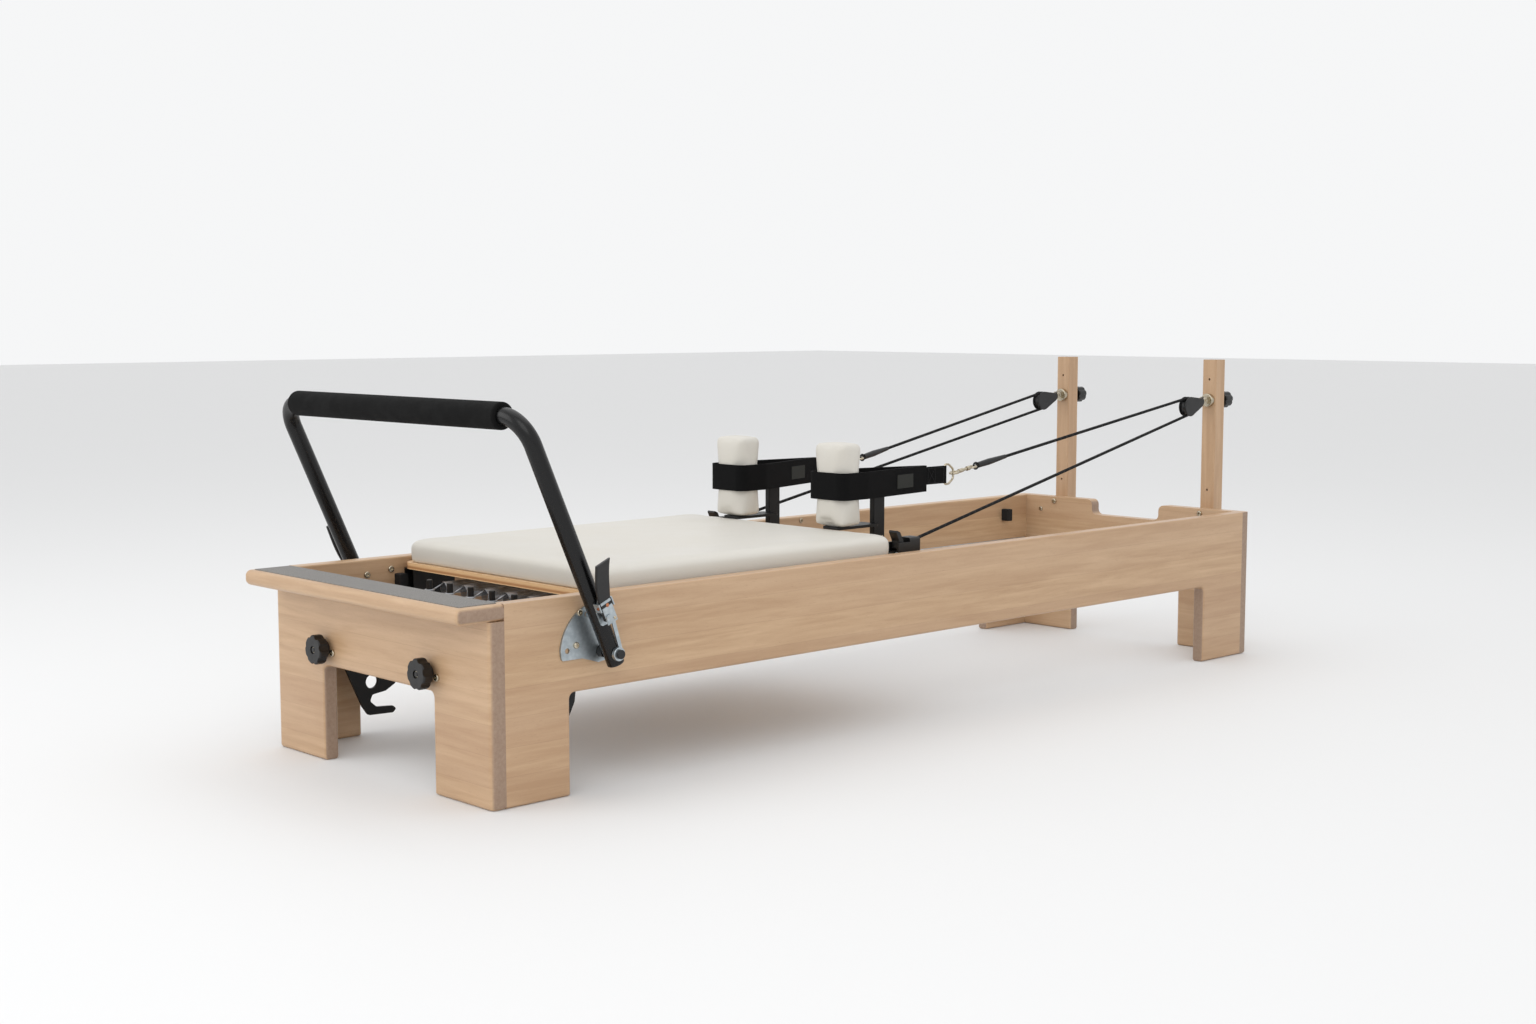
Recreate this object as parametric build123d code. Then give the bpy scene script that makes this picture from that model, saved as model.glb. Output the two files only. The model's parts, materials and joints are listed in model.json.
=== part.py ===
from build123d import *
import os
from math import cos, pi, radians, sin

# Pilates reformer.
# The model is built in bench stations and shifted once, on writing, to the part's own frame:
#   x  runs from the outer face of the foot panel (0) to the head end
#   y  runs from the centre plane, near side negative, far side positive
#   z  runs up from the floor

# ---- driving dimensions, mm ----
FRAME_LENGTH = 2330.0
FRAME_WIDTH = 723.0
FRAME_HEIGHT = 360.0
BOARD = 30.0
RAIL_UNDERSIDE = 186.0
PLATFORM_NOSE = 67.0
RISER_SIZE = 40.0
RISER_TOP = 740.0
RISER_FOOT = 120.0
RISER_OFFSET = 234.0
RISER_KNOB_REACH = 40.0
CARRIAGE_FRONT = 268.0
DECK_LENGTH = 932.0
CUSHION_LENGTH = 798.0
CARRIAGE_HALF_WIDTH = 327.0
DECK_BOTTOM = 337.0
DECK_THICK = 13.0
CUSHION_THICK = 45.0
CARRIAGE_TRAVEL = 1000.0
FOOTBAR_PIVOT_X = 238.0
FOOTBAR_PIVOT_Z = 255.0
FOOTBAR_LEAN = 24.0
FOOTBAR_LENGTH = 467.0
FOOTBAR_ARM_Y = 396.5
FOOTBAR_TUBE_R = 16.0
ROPE_R = 3.5

# ---- worked out from them ----
HALF_W = FRAME_WIDTH / 2
INNER_Y = HALF_W - BOARD
HEAD_FACE = FRAME_LENGTH - BOARD
RISER_FRONT = FRAME_LENGTH
DECK_TOP = DECK_BOTTOM + DECK_THICK
CUSHION_TOP = DECK_TOP + CUSHION_THICK
DECK_END = CARRIAGE_FRONT + DECK_LENGTH
CUSHION_END = CARRIAGE_FRONT + CUSHION_LENGTH
TOTAL_LENGTH = PLATFORM_NOSE + FRAME_LENGTH + RISER_SIZE + RISER_KNOB_REACH
STATION_SHIFT = PLATFORM_NOSE - TOTAL_LENGTH / 2

NEAR, FAR = -1, 1


# ---- small helpers ----
def block(x0, x1, y0, y1, z0, z1):
    """Box between two corners."""
    size = (x1 - x0, y1 - y0, z1 - z0)
    return Pos((x0 + x1) / 2, (y0 + y1) / 2, (z0 + z1) / 2) * Box(*size)


def rod_x(x0, x1, y, z, r):
    """Cylinder along x."""
    return Pos((x0 + x1) / 2, y, z) * Rot(0, 90, 0) * Cylinder(r, x1 - x0)


def rod_y(x, y0, y1, z, r):
    """Cylinder along y."""
    return Pos(x, (y0 + y1) / 2, z) * Rot(90, 0, 0) * Cylinder(r, y1 - y0)


def rod_z(x, y, z0, z1, r):
    """Cylinder along z."""
    return Pos(x, y, (z0 + z1) / 2) * Cylinder(r, z1 - z0)


def outline(points, radii):
    """Closed flat outline with one corner radius per point."""
    return make_face(FilletPolyline(*points, radius=radii, close=True))


def slab_xz(points, radii, y0, y1):
    """Outline in the x-z plane, given thickness from y0 to y1."""
    plane = Plane(origin=(0, y0, 0), x_dir=(1, 0, 0), z_dir=(0, -1, 0))
    return extrude(plane * outline(points, radii), amount=-(y1 - y0))


def slab_yz(points, radii, x0, x1):
    """Outline in the y-z plane, given thickness from x0 to x1."""
    plane = Plane(origin=(x0, 0, 0), x_dir=(0, 1, 0), z_dir=(1, 0, 0))
    return extrude(plane * outline(points, radii), amount=x1 - x0)


def slab_xy(points, radii, z0, z1):
    """Outline in the x-y plane, given thickness from z0 to z1."""
    plane = Plane(origin=(0, 0, z0), x_dir=(1, 0, 0), z_dir=(0, 0, 1))
    return extrude(plane * outline(points, radii), amount=z1 - z0)


def on_side(side, shape):
    """A near-side shape as it is, or its mirror image for the far side."""
    return shape if side == NEAR else mirror(shape, about=Plane.XZ)


def both_sides(shape):
    """A near-side shape and its far-side twin, as two separate solids."""
    return [shape, mirror(shape, about=Plane.XZ)]


def write(name, shape):
    """Shift a shape from stations to the part's frame and save it as one node."""
    solids = shape if isinstance(shape, list) else [shape]
    flat = [solid for item in solids for solid in item.solids()]
    placed = [Pos(STATION_SHIFT, 0, 0) * solid for solid in flat]
    node = placed[0] if len(placed) == 1 else Compound(children=placed)
    node.label = name
    export_step(node, f"parts/{name}.step")


# ---- wooden frame ----
FOOT_LEG_RAIL = 171.0
HEAD_LEG_X = 2135.0
FOOT_LEG_PANEL = 176.0
HEAD_LEG_PANEL = 190.0
ARCH_R = 12.0
EDGE_R = 3.0
CORNER_R = 11.0
NOTCH_HALF = 107.0
NOTCH_FLOOR = 320.0
NOTCH_R = 15.0
PIVOT_BOLT_R = 6.0
STEM_R = 5.0
FOOT_KNOB_Y = 175.0
FOOT_KNOB_Z = 220.0
RISER_BOLT_Z = (144.0, 348.0)
RISER_BOLT_R = 4.0


def side_rail():
    """Near side rail: one board on edge with a leg at each end."""
    points = [
        (BOARD, 0), (FOOT_LEG_RAIL, 0), (FOOT_LEG_RAIL, RAIL_UNDERSIDE),
        (HEAD_LEG_X, RAIL_UNDERSIDE), (HEAD_LEG_X, 0), (HEAD_FACE, 0),
        (HEAD_FACE, FRAME_HEIGHT), (BOARD, FRAME_HEIGHT),
    ]
    radii = [0, 4, ARCH_R, ARCH_R, 4, 0, 0, 0]
    rail = slab_xz(points, radii, -HALF_W, -INNER_Y)
    long_edges = rail.edges().filter_by(Axis.X).group_by(Axis.Z)[-1]
    rail = fillet(long_edges, EDGE_R)
    inner_legs = [
        edge for edge in rail.edges().filter_by(Axis.Z)
        if FOOT_LEG_RAIL - 1 < edge.center().X < HEAD_LEG_X + 1 and edge.length > BOARD
    ]
    rail = fillet(inner_legs, EDGE_R * 2)
    return rail - rod_y(FOOTBAR_PIVOT_X, -HALF_W - 1, -INNER_Y + 1, FOOTBAR_PIVOT_Z, PIVOT_BOLT_R)


def end_panel(x0, leg, top, outer_x):
    """Full-width board across an end, standing on two legs."""
    points = [
        (-HALF_W, 0), (-HALF_W + leg, 0), (-HALF_W + leg, RAIL_UNDERSIDE),
        (HALF_W - leg, RAIL_UNDERSIDE), (HALF_W - leg, 0), (HALF_W, 0),
    ] + top
    radii = [0, 4, ARCH_R, ARCH_R, 4, 0] + [0 if abs(y) > NOTCH_HALF + 1 else NOTCH_R for y, z in top]
    panel = slab_yz(points, radii, x0, x0 + BOARD)
    corners = [
        edge for edge in panel.edges().filter_by(Axis.Z)
        if abs(abs(edge.center().Y) - HALF_W) < 1 and abs(edge.center().X - outer_x) < 1
    ]
    panel = fillet(corners, CORNER_R)
    legs = [
        edge for edge in panel.edges().filter_by(Axis.Z)
        if abs(abs(edge.center().Y) - (HALF_W - leg)) < 1
    ]
    return fillet(legs, EDGE_R * 2)


def foot_panel():
    """Panel under the standing platform, bored for the two knob stems."""
    top = [(HALF_W, FRAME_HEIGHT - BOARD), (-HALF_W, FRAME_HEIGHT - BOARD)]
    panel = end_panel(0, FOOT_LEG_PANEL, top, 0)
    for side in (NEAR, FAR):
        panel -= rod_x(-1, BOARD + 1, side * FOOT_KNOB_Y, FOOT_KNOB_Z, STEM_R + 0.06)
    return panel


def head_panel():
    """Panel at the head end with a shallow notch in its top edge."""
    top = [
        (HALF_W, FRAME_HEIGHT), (NOTCH_HALF, FRAME_HEIGHT), (NOTCH_HALF, NOTCH_FLOOR),
        (-NOTCH_HALF, NOTCH_FLOOR), (-NOTCH_HALF, FRAME_HEIGHT), (-HALF_W, FRAME_HEIGHT),
    ]
    panel = end_panel(HEAD_FACE, HEAD_LEG_PANEL, top, FRAME_LENGTH)
    for side in (NEAR, FAR):
        for z in RISER_BOLT_Z:
            panel -= rod_x(HEAD_FACE - 1, FRAME_LENGTH + 1, side * RISER_OFFSET, z, RISER_BOLT_R)
    return panel


STRIP_FRONT = -53.0
STRIP_BACK = 26.0
STRIP_INSET = 15.0
STRIP_THICK = 1.2


def standing_platform():
    """Board to stand on, flush with the rails, with a round nose."""
    board = block(-PLATFORM_NOSE, BOARD, -HALF_W, HALF_W, FRAME_HEIGHT - BOARD, FRAME_HEIGHT)
    front = board.faces().sort_by(Axis.X)[0]
    board = fillet(front.edges().filter_by(Axis.Z), 8)
    nose = [
        edge for edge in board.edges().filter_by(Axis.Y)
        if edge.center().X < -PLATFORM_NOSE + 1
    ]
    return fillet(nose, 11)


def platform_grip_strip():
    """Anti-slip strip stuck on the platform."""
    y = HALF_W - STRIP_INSET
    points = [(STRIP_FRONT, -y), (STRIP_BACK, -y), (STRIP_BACK, y), (STRIP_FRONT, y)]
    return slab_xy(points, [2, 2, 2, 2], FRAME_HEIGHT, FRAME_HEIGHT + STRIP_THICK)


RISER_HOLES_Z = (407.0, 690.0)
PULLEY_Z = 637.0
STUD_R = 5.0


def riser():
    """Near post that carries a pulley above the head panel."""
    x0, x1 = RISER_FRONT, RISER_FRONT + RISER_SIZE
    half = RISER_SIZE / 2
    post = block(x0, x1, -RISER_OFFSET - half, -RISER_OFFSET + half, RISER_FOOT, RISER_TOP)
    post = fillet(post.edges().filter_by(Axis.Z), 2.5)
    for z in RISER_HOLES_Z:
        post -= rod_x(x0 - 1, x1 + 1, -RISER_OFFSET, z, 3)
    post -= rod_x(x0 - 1, x1 + 1, -RISER_OFFSET, PULLEY_Z, STUD_R)
    for z in RISER_BOLT_Z:
        post -= rod_x(x0 - 1, x0 + half, -RISER_OFFSET, z, RISER_BOLT_R)
    return post


def riser_bolts():
    """Two bolts per post, driven from inside the head panel."""
    bolts = []
    for side in (NEAR, FAR):
        for z in RISER_BOLT_Z:
            y = side * RISER_OFFSET
            shank = rod_x(HEAD_FACE - 0.5, RISER_FRONT + RISER_SIZE / 2, y, z, RISER_BOLT_R)
            head = rod_x(HEAD_FACE - 5, HEAD_FACE, y, z, 7)
            head = fillet(head.edges().sort_by(Axis.X)[0], 2.5)
            socket = Pos(HEAD_FACE - 5, y, z) * Rot(0, 90, 0) * extrude(RegularPolygon(2.6, 6), 3)
            bolts.append(head + shank - socket)
    return bolts


# ---- carriage track, stops ----
TRACK_TOP = 221.0
TRACK_INNER_Y = 300.0
TRACK_WALL = 3.0
TRACK_HEIGHT = 28.0
TRACK_X = (BOARD + 8, HEAD_FACE - 8)
STOP_LENGTH = 19.0
STOP_Z = (294.0, 326.0)
STOP_DEPTH = 22.0
BRACKET_SETBACK = 7.0


def carriage_track():
    """Near aluminium angle that the wheels run on."""
    flange_z = TRACK_TOP - 6
    points = [
        (-INNER_Y, flange_z), (-TRACK_INNER_Y, flange_z), (-TRACK_INNER_Y, TRACK_TOP),
        (-INNER_Y + TRACK_WALL, TRACK_TOP), (-INNER_Y + TRACK_WALL, flange_z + TRACK_HEIGHT),
        (-INNER_Y, flange_z + TRACK_HEIGHT),
    ]
    return slab_yz(points, [0, 1, 1, 2, 1, 0], *TRACK_X)


def carriage_stops():
    """Rubber blocks on the rails that end the carriage's travel."""
    foot = CARRIAGE_FRONT + BRACKET_SETBACK - 0.5
    head = DECK_END - BRACKET_SETBACK + CARRIAGE_TRAVEL + 0.5
    stops = []
    for x0, x1 in ((foot - STOP_LENGTH, foot), (head, head + STOP_LENGTH)):
        stop = block(x0, x1, -INNER_Y, -INNER_Y + STOP_DEPTH, *STOP_Z)
        stops += both_sides(fillet(stop.edges().filter_by(Axis.Y), 3))
    return stops


# ---- footbar side plates and pivots ----
PLATE_THICK = 4.0
SECTOR_R = 91.0
INDEX_R = 76.0
INDEX_PIN_R = 4.5
INDEX_TURNS = (-60.0, 0.0, 20.0)
PLATE_BOLTS = ((182.0, 271.0), (190.0, 329.0), (247.0, 336.0))
RAIL_SCREW = (1425.0, 350.0)
PANEL_SCREW = (280.0, 324.0)


def quadrant_plate():
    """Near side plate: a sector about the footbar's pivot, bored for the locking pin."""
    px, pz = FOOTBAR_PIVOT_X, FOOTBAR_PIVOT_Z
    plane = Plane(origin=(0, -HALF_W, 0), x_dir=(1, 0, 0), z_dir=(0, -1, 0))

    def rim(angle):
        return (px + SECTOR_R * cos(radians(angle)), pz + SECTOR_R * sin(radians(angle)))

    low = (px + 24, pz - 16)
    edges = [
        ThreePointArc(rim(174), rim(142), rim(110)),
        Line(rim(110), (px + 20, pz + 90)),
        Line((px + 20, pz + 90), low),
        Line(low, (px - 6, pz - 20)),
        Line((px - 6, pz - 20), (px - 42, pz - 9)),
        Line((px - 42, pz - 9), (px - 88, pz - 9)),
        Line((px - 88, pz - 9), rim(174)),
    ]
    face = make_face(Wire(edges))
    face = fillet(face.vertices(), 5)
    plate = extrude(plane * face, amount=PLATE_THICK)
    for turn in INDEX_TURNS:
        angle = radians(90 + FOOTBAR_LEAN - turn)
        x, z = px + INDEX_R * cos(angle), pz + INDEX_R * sin(angle)
        plate -= rod_y(x, -HALF_W - 9, -HALF_W + 1, z, INDEX_PIN_R + 0.6)
    return plate - rod_y(px, -HALF_W - 9, -HALF_W + 1, pz, PIVOT_BOLT_R)


def pan_head(x, y, z, direction, r=6.0, high=4.0):
    """Screw head with a hexagon socket; direction is -x, -y or +y."""
    turn = {"-x": Rot(0, -90, 0), "-y": Rot(90, 0, 0), "+y": Rot(-90, 0, 0)}[direction]
    head = Pos(0, 0, high / 2) * Cylinder(r, high)
    head = fillet(head.edges().sort_by(Axis.Z)[-1], high * 0.55)
    head -= Pos(0, 0, high - 2.2) * extrude(RegularPolygon(r * 0.4, 6), 3)
    return Pos(x, y, z) * turn * head


def frame_screws():
    """Screw heads on the quadrant plates, foot panel and inner faces of the rails."""
    outer = -HALF_W - PLATE_THICK
    heads = []
    for x, z in PLATE_BOLTS:
        heads += both_sides(pan_head(x, outer, z, "-y"))
        heads += both_sides(pan_head(x, -INNER_Y, z, "+y", 7.0))
    for y in (-FOOT_KNOB_Y - 25, FOOT_KNOB_Y - 25):
        heads.append(pan_head(0, y, FOOT_KNOB_Z - 6, "-x", 7.0, 5.0))
    heads += both_sides(pan_head(RAIL_SCREW[0], -INNER_Y, RAIL_SCREW[1], "+y", 6.0, 3.0))
    return heads + both_sides(pan_head(HEAD_FACE, -PANEL_SCREW[0], PANEL_SCREW[1], "-x"))


PIVOT_CAP_R = 8.5
RING_R = 12.5
BUSH_R = 11.0
LATCH_PLATE_Y = FOOTBAR_ARM_Y + FOOTBAR_TUBE_R
LATCH_PLATE_THICK = 2.5


def pivot_bolt():
    """Near pivot bolt, from a washer inside the rail to a ring and cap outside the arm."""
    outer = -LATCH_PLATE_Y - LATCH_PLATE_THICK - 0.4
    x, z = FOOTBAR_PIVOT_X, FOOTBAR_PIVOT_Z
    shank = rod_y(x, outer - 3, -INNER_Y + 4, z, PIVOT_BOLT_R)
    ring = rod_y(x, outer - 4, outer, z, RING_R)
    ring = fillet(ring.edges().sort_by(Axis.Y)[0], 1.2)
    inner = rod_y(x, -INNER_Y, -INNER_Y + 6, z, 10)
    return shank + ring + fillet(inner.edges().sort_by(Axis.Y)[-1], 1.5)


def pivot_cap():
    """Near plastic cap over the pivot bolt's head."""
    outer = -LATCH_PLATE_Y - LATCH_PLATE_THICK - 4.4
    cap = rod_y(FOOTBAR_PIVOT_X, outer - 6, outer, FOOTBAR_PIVOT_Z, PIVOT_CAP_R)
    return fillet(cap.edges().sort_by(Axis.Y)[0], 2)


def pivot_bush():
    """Near spacer between the side plate and the footbar's arm."""
    x, z = FOOTBAR_PIVOT_X, FOOTBAR_PIVOT_Z
    y0, y1 = -FOOTBAR_ARM_Y + FOOTBAR_TUBE_R + 0.4, -HALF_W - PLATE_THICK
    return rod_y(x, y0, y1, z, BUSH_R) - rod_y(x, y0 - 1, y1 + 1, z, PIVOT_BOLT_R)


# ---- footbar ----
LEAN_S = sin(radians(FOOTBAR_LEAN))
LEAN_C = cos(radians(FOOTBAR_LEAN))
FOOTBAR_WALL = 2.5
FOOTBAR_BEND_R = 55.0
FOOTBAR_TAIL = 19.0
GRIP_R = 24.5
GRIP_HALF = 341.0
LATCH_PIVOT_U = 100.0
LATCH_PIVOT_V = 5.0
LATCH_PIN_R = 2.5
LATCH_PIVOT_W = LATCH_PLATE_Y + 11.0


def along_arm(u, v, w):
    """Point on the near side: u up the arm, v towards the head end, w outward from the centre."""
    return (
        FOOTBAR_PIVOT_X - u * LEAN_S + v * LEAN_C,
        -w,
        FOOTBAR_PIVOT_Z + u * LEAN_C + v * LEAN_S,
    )


ARM_PLANE = Plane(
    origin=along_arm(0, 0, 0), x_dir=(LEAN_C, 0, LEAN_S), z_dir=(0, -1, 0)
)


def arm_slab(points, radii, w0, w1):
    """Outline of (v, u) points in the arm's own plane, thick from w0 to w1 outward."""
    face = outline(points, radii)
    return extrude(ARM_PLANE.offset(w0) * face, amount=w1 - w0)


def arm_rod(v, u, w0, w1, r):
    """Cylinder across the arm's plane."""
    return ARM_PLANE.offset((w0 + w1) / 2) * Pos(v, u, 0) * Cylinder(r, w1 - w0)


def footbar_tube():
    """Bent tube: two arms and the crosspiece between them."""
    top = along_arm(FOOTBAR_LENGTH, 0, FOOTBAR_ARM_Y)
    low = along_arm(-FOOTBAR_TAIL, 0, FOOTBAR_ARM_Y)
    corners = [low, top, (top[0], -top[1], top[2]), (low[0], -low[1], low[2])]
    path = FilletPolyline(*corners, radius=[FOOTBAR_BEND_R, FOOTBAR_BEND_R])
    start = Plane(origin=low, z_dir=path % 0)
    ring = Circle(FOOTBAR_TUBE_R) - Circle(FOOTBAR_TUBE_R - FOOTBAR_WALL)
    tube = sweep(start * ring, path=path)
    reach = FOOTBAR_TUBE_R + 2
    for side in (NEAR, FAR):
        bore = arm_rod(0, 0, FOOTBAR_ARM_Y - reach, FOOTBAR_ARM_Y + reach, PIVOT_BOLT_R + 0.06)
        pin = arm_rod(0, INDEX_R, FOOTBAR_ARM_Y - reach, FOOTBAR_ARM_Y + reach, INDEX_PIN_R + 0.06)
        tube = tube - on_side(side, bore) - on_side(side, pin)
    return tube


def footbar_grip():
    """Foam sleeve on the crosspiece."""
    x, y, z = along_arm(FOOTBAR_LENGTH, 0, 0)
    sleeve = rod_y(x, -GRIP_HALF, GRIP_HALF, z, GRIP_R)
    sleeve = fillet(sleeve.edges(), 4)
    return sleeve - rod_y(x, -GRIP_HALF - 1, GRIP_HALF + 1, z, FOOTBAR_TUBE_R)


def end_plug():
    """Near plastic plug in the bottom of the arm."""
    bore = FOOTBAR_TUBE_R - FOOTBAR_WALL
    frame = Plane(origin=along_arm(-FOOTBAR_TAIL, 0, FOOTBAR_ARM_Y), z_dir=(LEAN_S, 0, -LEAN_C))
    cap = Pos(0, 0, 1.5) * Cylinder(FOOTBAR_TUBE_R, 3)
    cap = fillet(cap.edges().sort_by(Axis.Z)[-1], 1.5)
    return frame * (cap + Pos(0, 0, -3) * Cylinder(bore, 6))


def across_lever(r, length):
    """Cylinder on the near lever's own hinge line."""
    middle = ARM_PLANE.offset(LATCH_PIVOT_W) * Pos(LATCH_PIVOT_V, LATCH_PIVOT_U, 0)
    return middle * Rot(0, 90, 0) * Cylinder(r, length)


def latch_plate():
    """Near plate on the outside of the arm: ring at the pivot, strip, and bracket for the lever."""
    w0, w1 = LATCH_PLATE_Y, LATCH_PLATE_Y + LATCH_PLATE_THICK
    bracket = arm_slab(
        [(-12, 64), (21, 58), (24, 84), (22, 112), (2, 114), (-12, 92)],
        [4, 5, 4, 4, 4, 4], w0, w1,
    )
    strip = arm_slab([(5, 0), (12, 0), (20, 66), (12, 68)], [0, 0, 0, 0], w0, w1)
    plate = bracket + strip + arm_rod(0, 0, w0, w1, RING_R)
    for v in (-11.5, 19.0):
        ear = arm_slab([(v, 92), (v + 2.5, 92), (v + 2.5, 108), (v, 108)], [0, 0, 0, 0], w0, w1 + 13)
        plate += ear
    plate -= across_lever(LATCH_PIN_R, 40)
    plate -= arm_rod(0, 0, w0 - 1, w1 + 1, PIVOT_BOLT_R + 0.3)
    return plate - arm_rod(0, INDEX_R, w0 - 1, w1 + 1, INDEX_PIN_R + 0.3)


def latch_rivets():
    """Near lever pin across the ears, and the two rivet heads on the bracket."""
    pin = across_lever(LATCH_PIN_R, 36)
    outer = LATCH_PLATE_Y + LATCH_PLATE_THICK
    heads = [arm_rod(v, u, outer, outer + 2.5, 3.6) for v, u in ((16, 86), (15, 66))]
    return [pin] + [fillet(head.edges().sort_by(Axis.Y)[0], 1.2) for head in heads]


LEVER_THICK = 6.0


def latch_lever():
    """Near lever: a nose that lifts the pin's head, a hub on the cross pin, and the blade."""
    w = LATCH_PIVOT_W
    hub = across_lever(5.5, 25)
    nose = arm_slab(
        [(-8, 71), (14, 71), (14, 100), (-8, 100)], [3, 3, 0, 0], w - 3, w + 3
    )
    root = along_arm(LATCH_PIVOT_U, LATCH_PIVOT_V, w)
    lower = Plane(origin=root, z_dir=(-LEAN_S, 0, LEAN_C), x_dir=(LEAN_C, 0, LEAN_S))
    sections = []
    for rise, shift, out, half in ((0, 0, 0, 11.5), (22, 2, 4, 15), (50, 6, 11, 16), (80, 13, 20, 17)):
        turned = lower.offset(rise)
        sections.append(turned * Pos(shift, -out) * RectangleRounded(2 * half, LEVER_THICK, 2.6))
    blade = loft(sections)
    lever = hub + nose + blade
    slot = arm_slab([(-5.5, 60), (5.5, 60), (5.5, 82), (-5.5, 82)], [0, 0, 5, 5], w - 6, w + 6)
    return lever - slot - across_lever(LATCH_PIN_R + 0.06, 40)


def latch_pin():
    """Near locking pin through the arm, drawn just clear of the side plate."""
    tip = HALF_W + PLATE_THICK + 0.8
    under_head = LATCH_PIVOT_W + 3 + 2
    shank = arm_rod(0, INDEX_R, tip, under_head, INDEX_PIN_R)
    tip_edge = shank.edges().sort_by(Axis.Y)[-1]
    shank = chamfer(tip_edge, 1.2)
    head = arm_rod(0, INDEX_R, under_head, under_head + 3, 7)
    return shank + head


# ---- clamp knobs ----
KNOB_LOBES = 7


def star_knob(r, thick, hub_r, hub):
    """Fluted knob along +z: a hub from z=0, then the lobed disc with a recess."""
    flute_r = r / 3
    disc = Pos(0, 0, hub + thick / 2) * Cylinder(r, thick)
    disc = fillet(disc.edges(), 3.5)
    for step in range(KNOB_LOBES):
        angle = radians(360 / KNOB_LOBES * (step + 0.5))
        out = r + flute_r * 0.55
        flute = Pos(out * cos(angle), out * sin(angle), hub + thick / 2)
        disc -= flute * Cylinder(flute_r, thick + 2)
    knob = disc + Pos(0, 0, hub / 2) * Cylinder(hub_r, hub)
    return knob - Pos(0, 0, hub + thick - 3) * Cylinder(7.5, 8)


def clamp_knob(side):
    """Knob, stem and centre screw on the foot panel."""
    place = Pos(-1, side * FOOT_KNOB_Y, FOOT_KNOB_Z) * Rot(0, -90, 0)
    stem = rod_x(-4, BOARD + 12, side * FOOT_KNOB_Y, FOOT_KNOB_Z, STEM_R)
    screw = place * Pos(0, 0, 24.5) * Cylinder(4.5, 7)
    return place * star_knob(28.5, 20, 15, 9) + stem + screw


def riser_knob():
    """Near clamp knob behind the riser, threaded on the pulley stud."""
    x0 = RISER_FRONT + RISER_SIZE
    knob = Pos(x0 + 0.5, -RISER_OFFSET, PULLEY_Z) * Rot(0, 90, 0) * star_knob(21, 29.5, 12, 10)
    return knob - rod_x(x0 - 1, x0 + 32, -RISER_OFFSET, PULLEY_Z, STUD_R + 0.06)


# ---- pulleys ----
BOSS_R = 17.0
BOSS_THICK = 12.0
EAR_R = 9.0
EAR_Y = (4.2, 8.2)
TONGUE_HALF = 3.8
PULLEY_PIN_R = 3.0
PULLEY_PIVOT_X = RISER_FRONT - 24
BLOCK_DROP = 11.0
BLOCK_REACH = 70.0
BLOCK_ROOT = 24.0
SHEAVE_R = 22.0
SHEAVE_ROOT = 17.0
SHEAVE_HALF = 7.0
GROOVE_R = 5.9
SLOT_HALF = 8.0
CHEEK_HALF = 11.0
SHEAVE_PIN_R = 3.0
RUNNING_FIT = 0.06


def pulley_stud():
    """Near stud through the riser, its round boss, two ears and their cross pin."""
    y, z = -RISER_OFFSET, PULLEY_Z
    face = RISER_FRONT - BOSS_THICK
    shank = rod_x(RISER_FRONT - 6, RISER_FRONT + RISER_SIZE + 30, y, z, STUD_R)
    boss = rod_x(face, RISER_FRONT, y, z, BOSS_R)
    stud = shank + fillet(boss.edges().sort_by(Axis.X)[0], 2)
    for side in (-1, 1):
        y0, y1 = sorted((y + side * EAR_Y[0], y + side * EAR_Y[1]))
        stud += block(PULLEY_PIVOT_X, face + 1, y0, y1, z - EAR_R, z + EAR_R)
        stud += rod_y(PULLEY_PIVOT_X, y0, y1, z, EAR_R)
    return stud + rod_y(PULLEY_PIVOT_X, y - EAR_Y[1] - 2, y + EAR_Y[1] + 2, z, PULLEY_PIN_R)


def swivel_frame():
    """Plane at the block's root, x down the block towards the sheave, z across it."""
    slope = radians(BLOCK_DROP)
    origin = (PULLEY_PIVOT_X, -RISER_OFFSET, PULLEY_Z)
    return Plane(origin=origin, x_dir=(-cos(slope), 0, -sin(slope)), z_dir=(0, -1, 0))


def pulley_block():
    """Near teardrop block: tongue between the ears, body, two cheeks and the sheave's pin."""
    here = swivel_frame()
    r = SHEAVE_R + 2.5
    rounds = Pos(BLOCK_ROOT, 0) * Circle(11) + Pos(BLOCK_REACH, 0) * Circle(r)
    body = extrude(here.offset(-CHEEK_HALF) * make_hull(rounds.edges()), amount=2 * CHEEK_HALF)
    sides = body.faces().sort_by(Axis.Y)
    body = fillet(sides[0].edges() + sides[-1].edges(), 2)
    tongue = Circle(8.5) + Pos(BLOCK_ROOT / 2, 0) * Rectangle(BLOCK_ROOT, 16)
    body += extrude(here.offset(-TONGUE_HALF) * tongue, amount=2 * TONGUE_HALF)
    well = Pos(BLOCK_REACH, 0) * Circle(SHEAVE_R + 3.5) + Pos(BLOCK_REACH + 20, 0) * Rectangle(40, 60)
    body -= extrude(here.offset(-SLOT_HALF) * well, amount=2 * SLOT_HALF)
    body -= here * Cylinder(PULLEY_PIN_R + RUNNING_FIT, 2 * CHEEK_HALF)
    return body + here * Pos(BLOCK_REACH, 0, 0) * Cylinder(SHEAVE_PIN_R, 2 * CHEEK_HALF)


def sheave():
    """Near grooved wheel."""
    here = swivel_frame()
    wheel = Cylinder(SHEAVE_R, 2 * SHEAVE_HALF)
    groove = Plane.XZ * Pos(SHEAVE_ROOT + GROOVE_R, 0) * Circle(GROOVE_R)
    wheel -= revolve(groove, axis=Axis.Z)
    wheel -= Cylinder(SHEAVE_PIN_R + RUNNING_FIT, 2 * SHEAVE_HALF + 2)
    return here * Pos(BLOCK_REACH, 0, 0) * wheel


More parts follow.
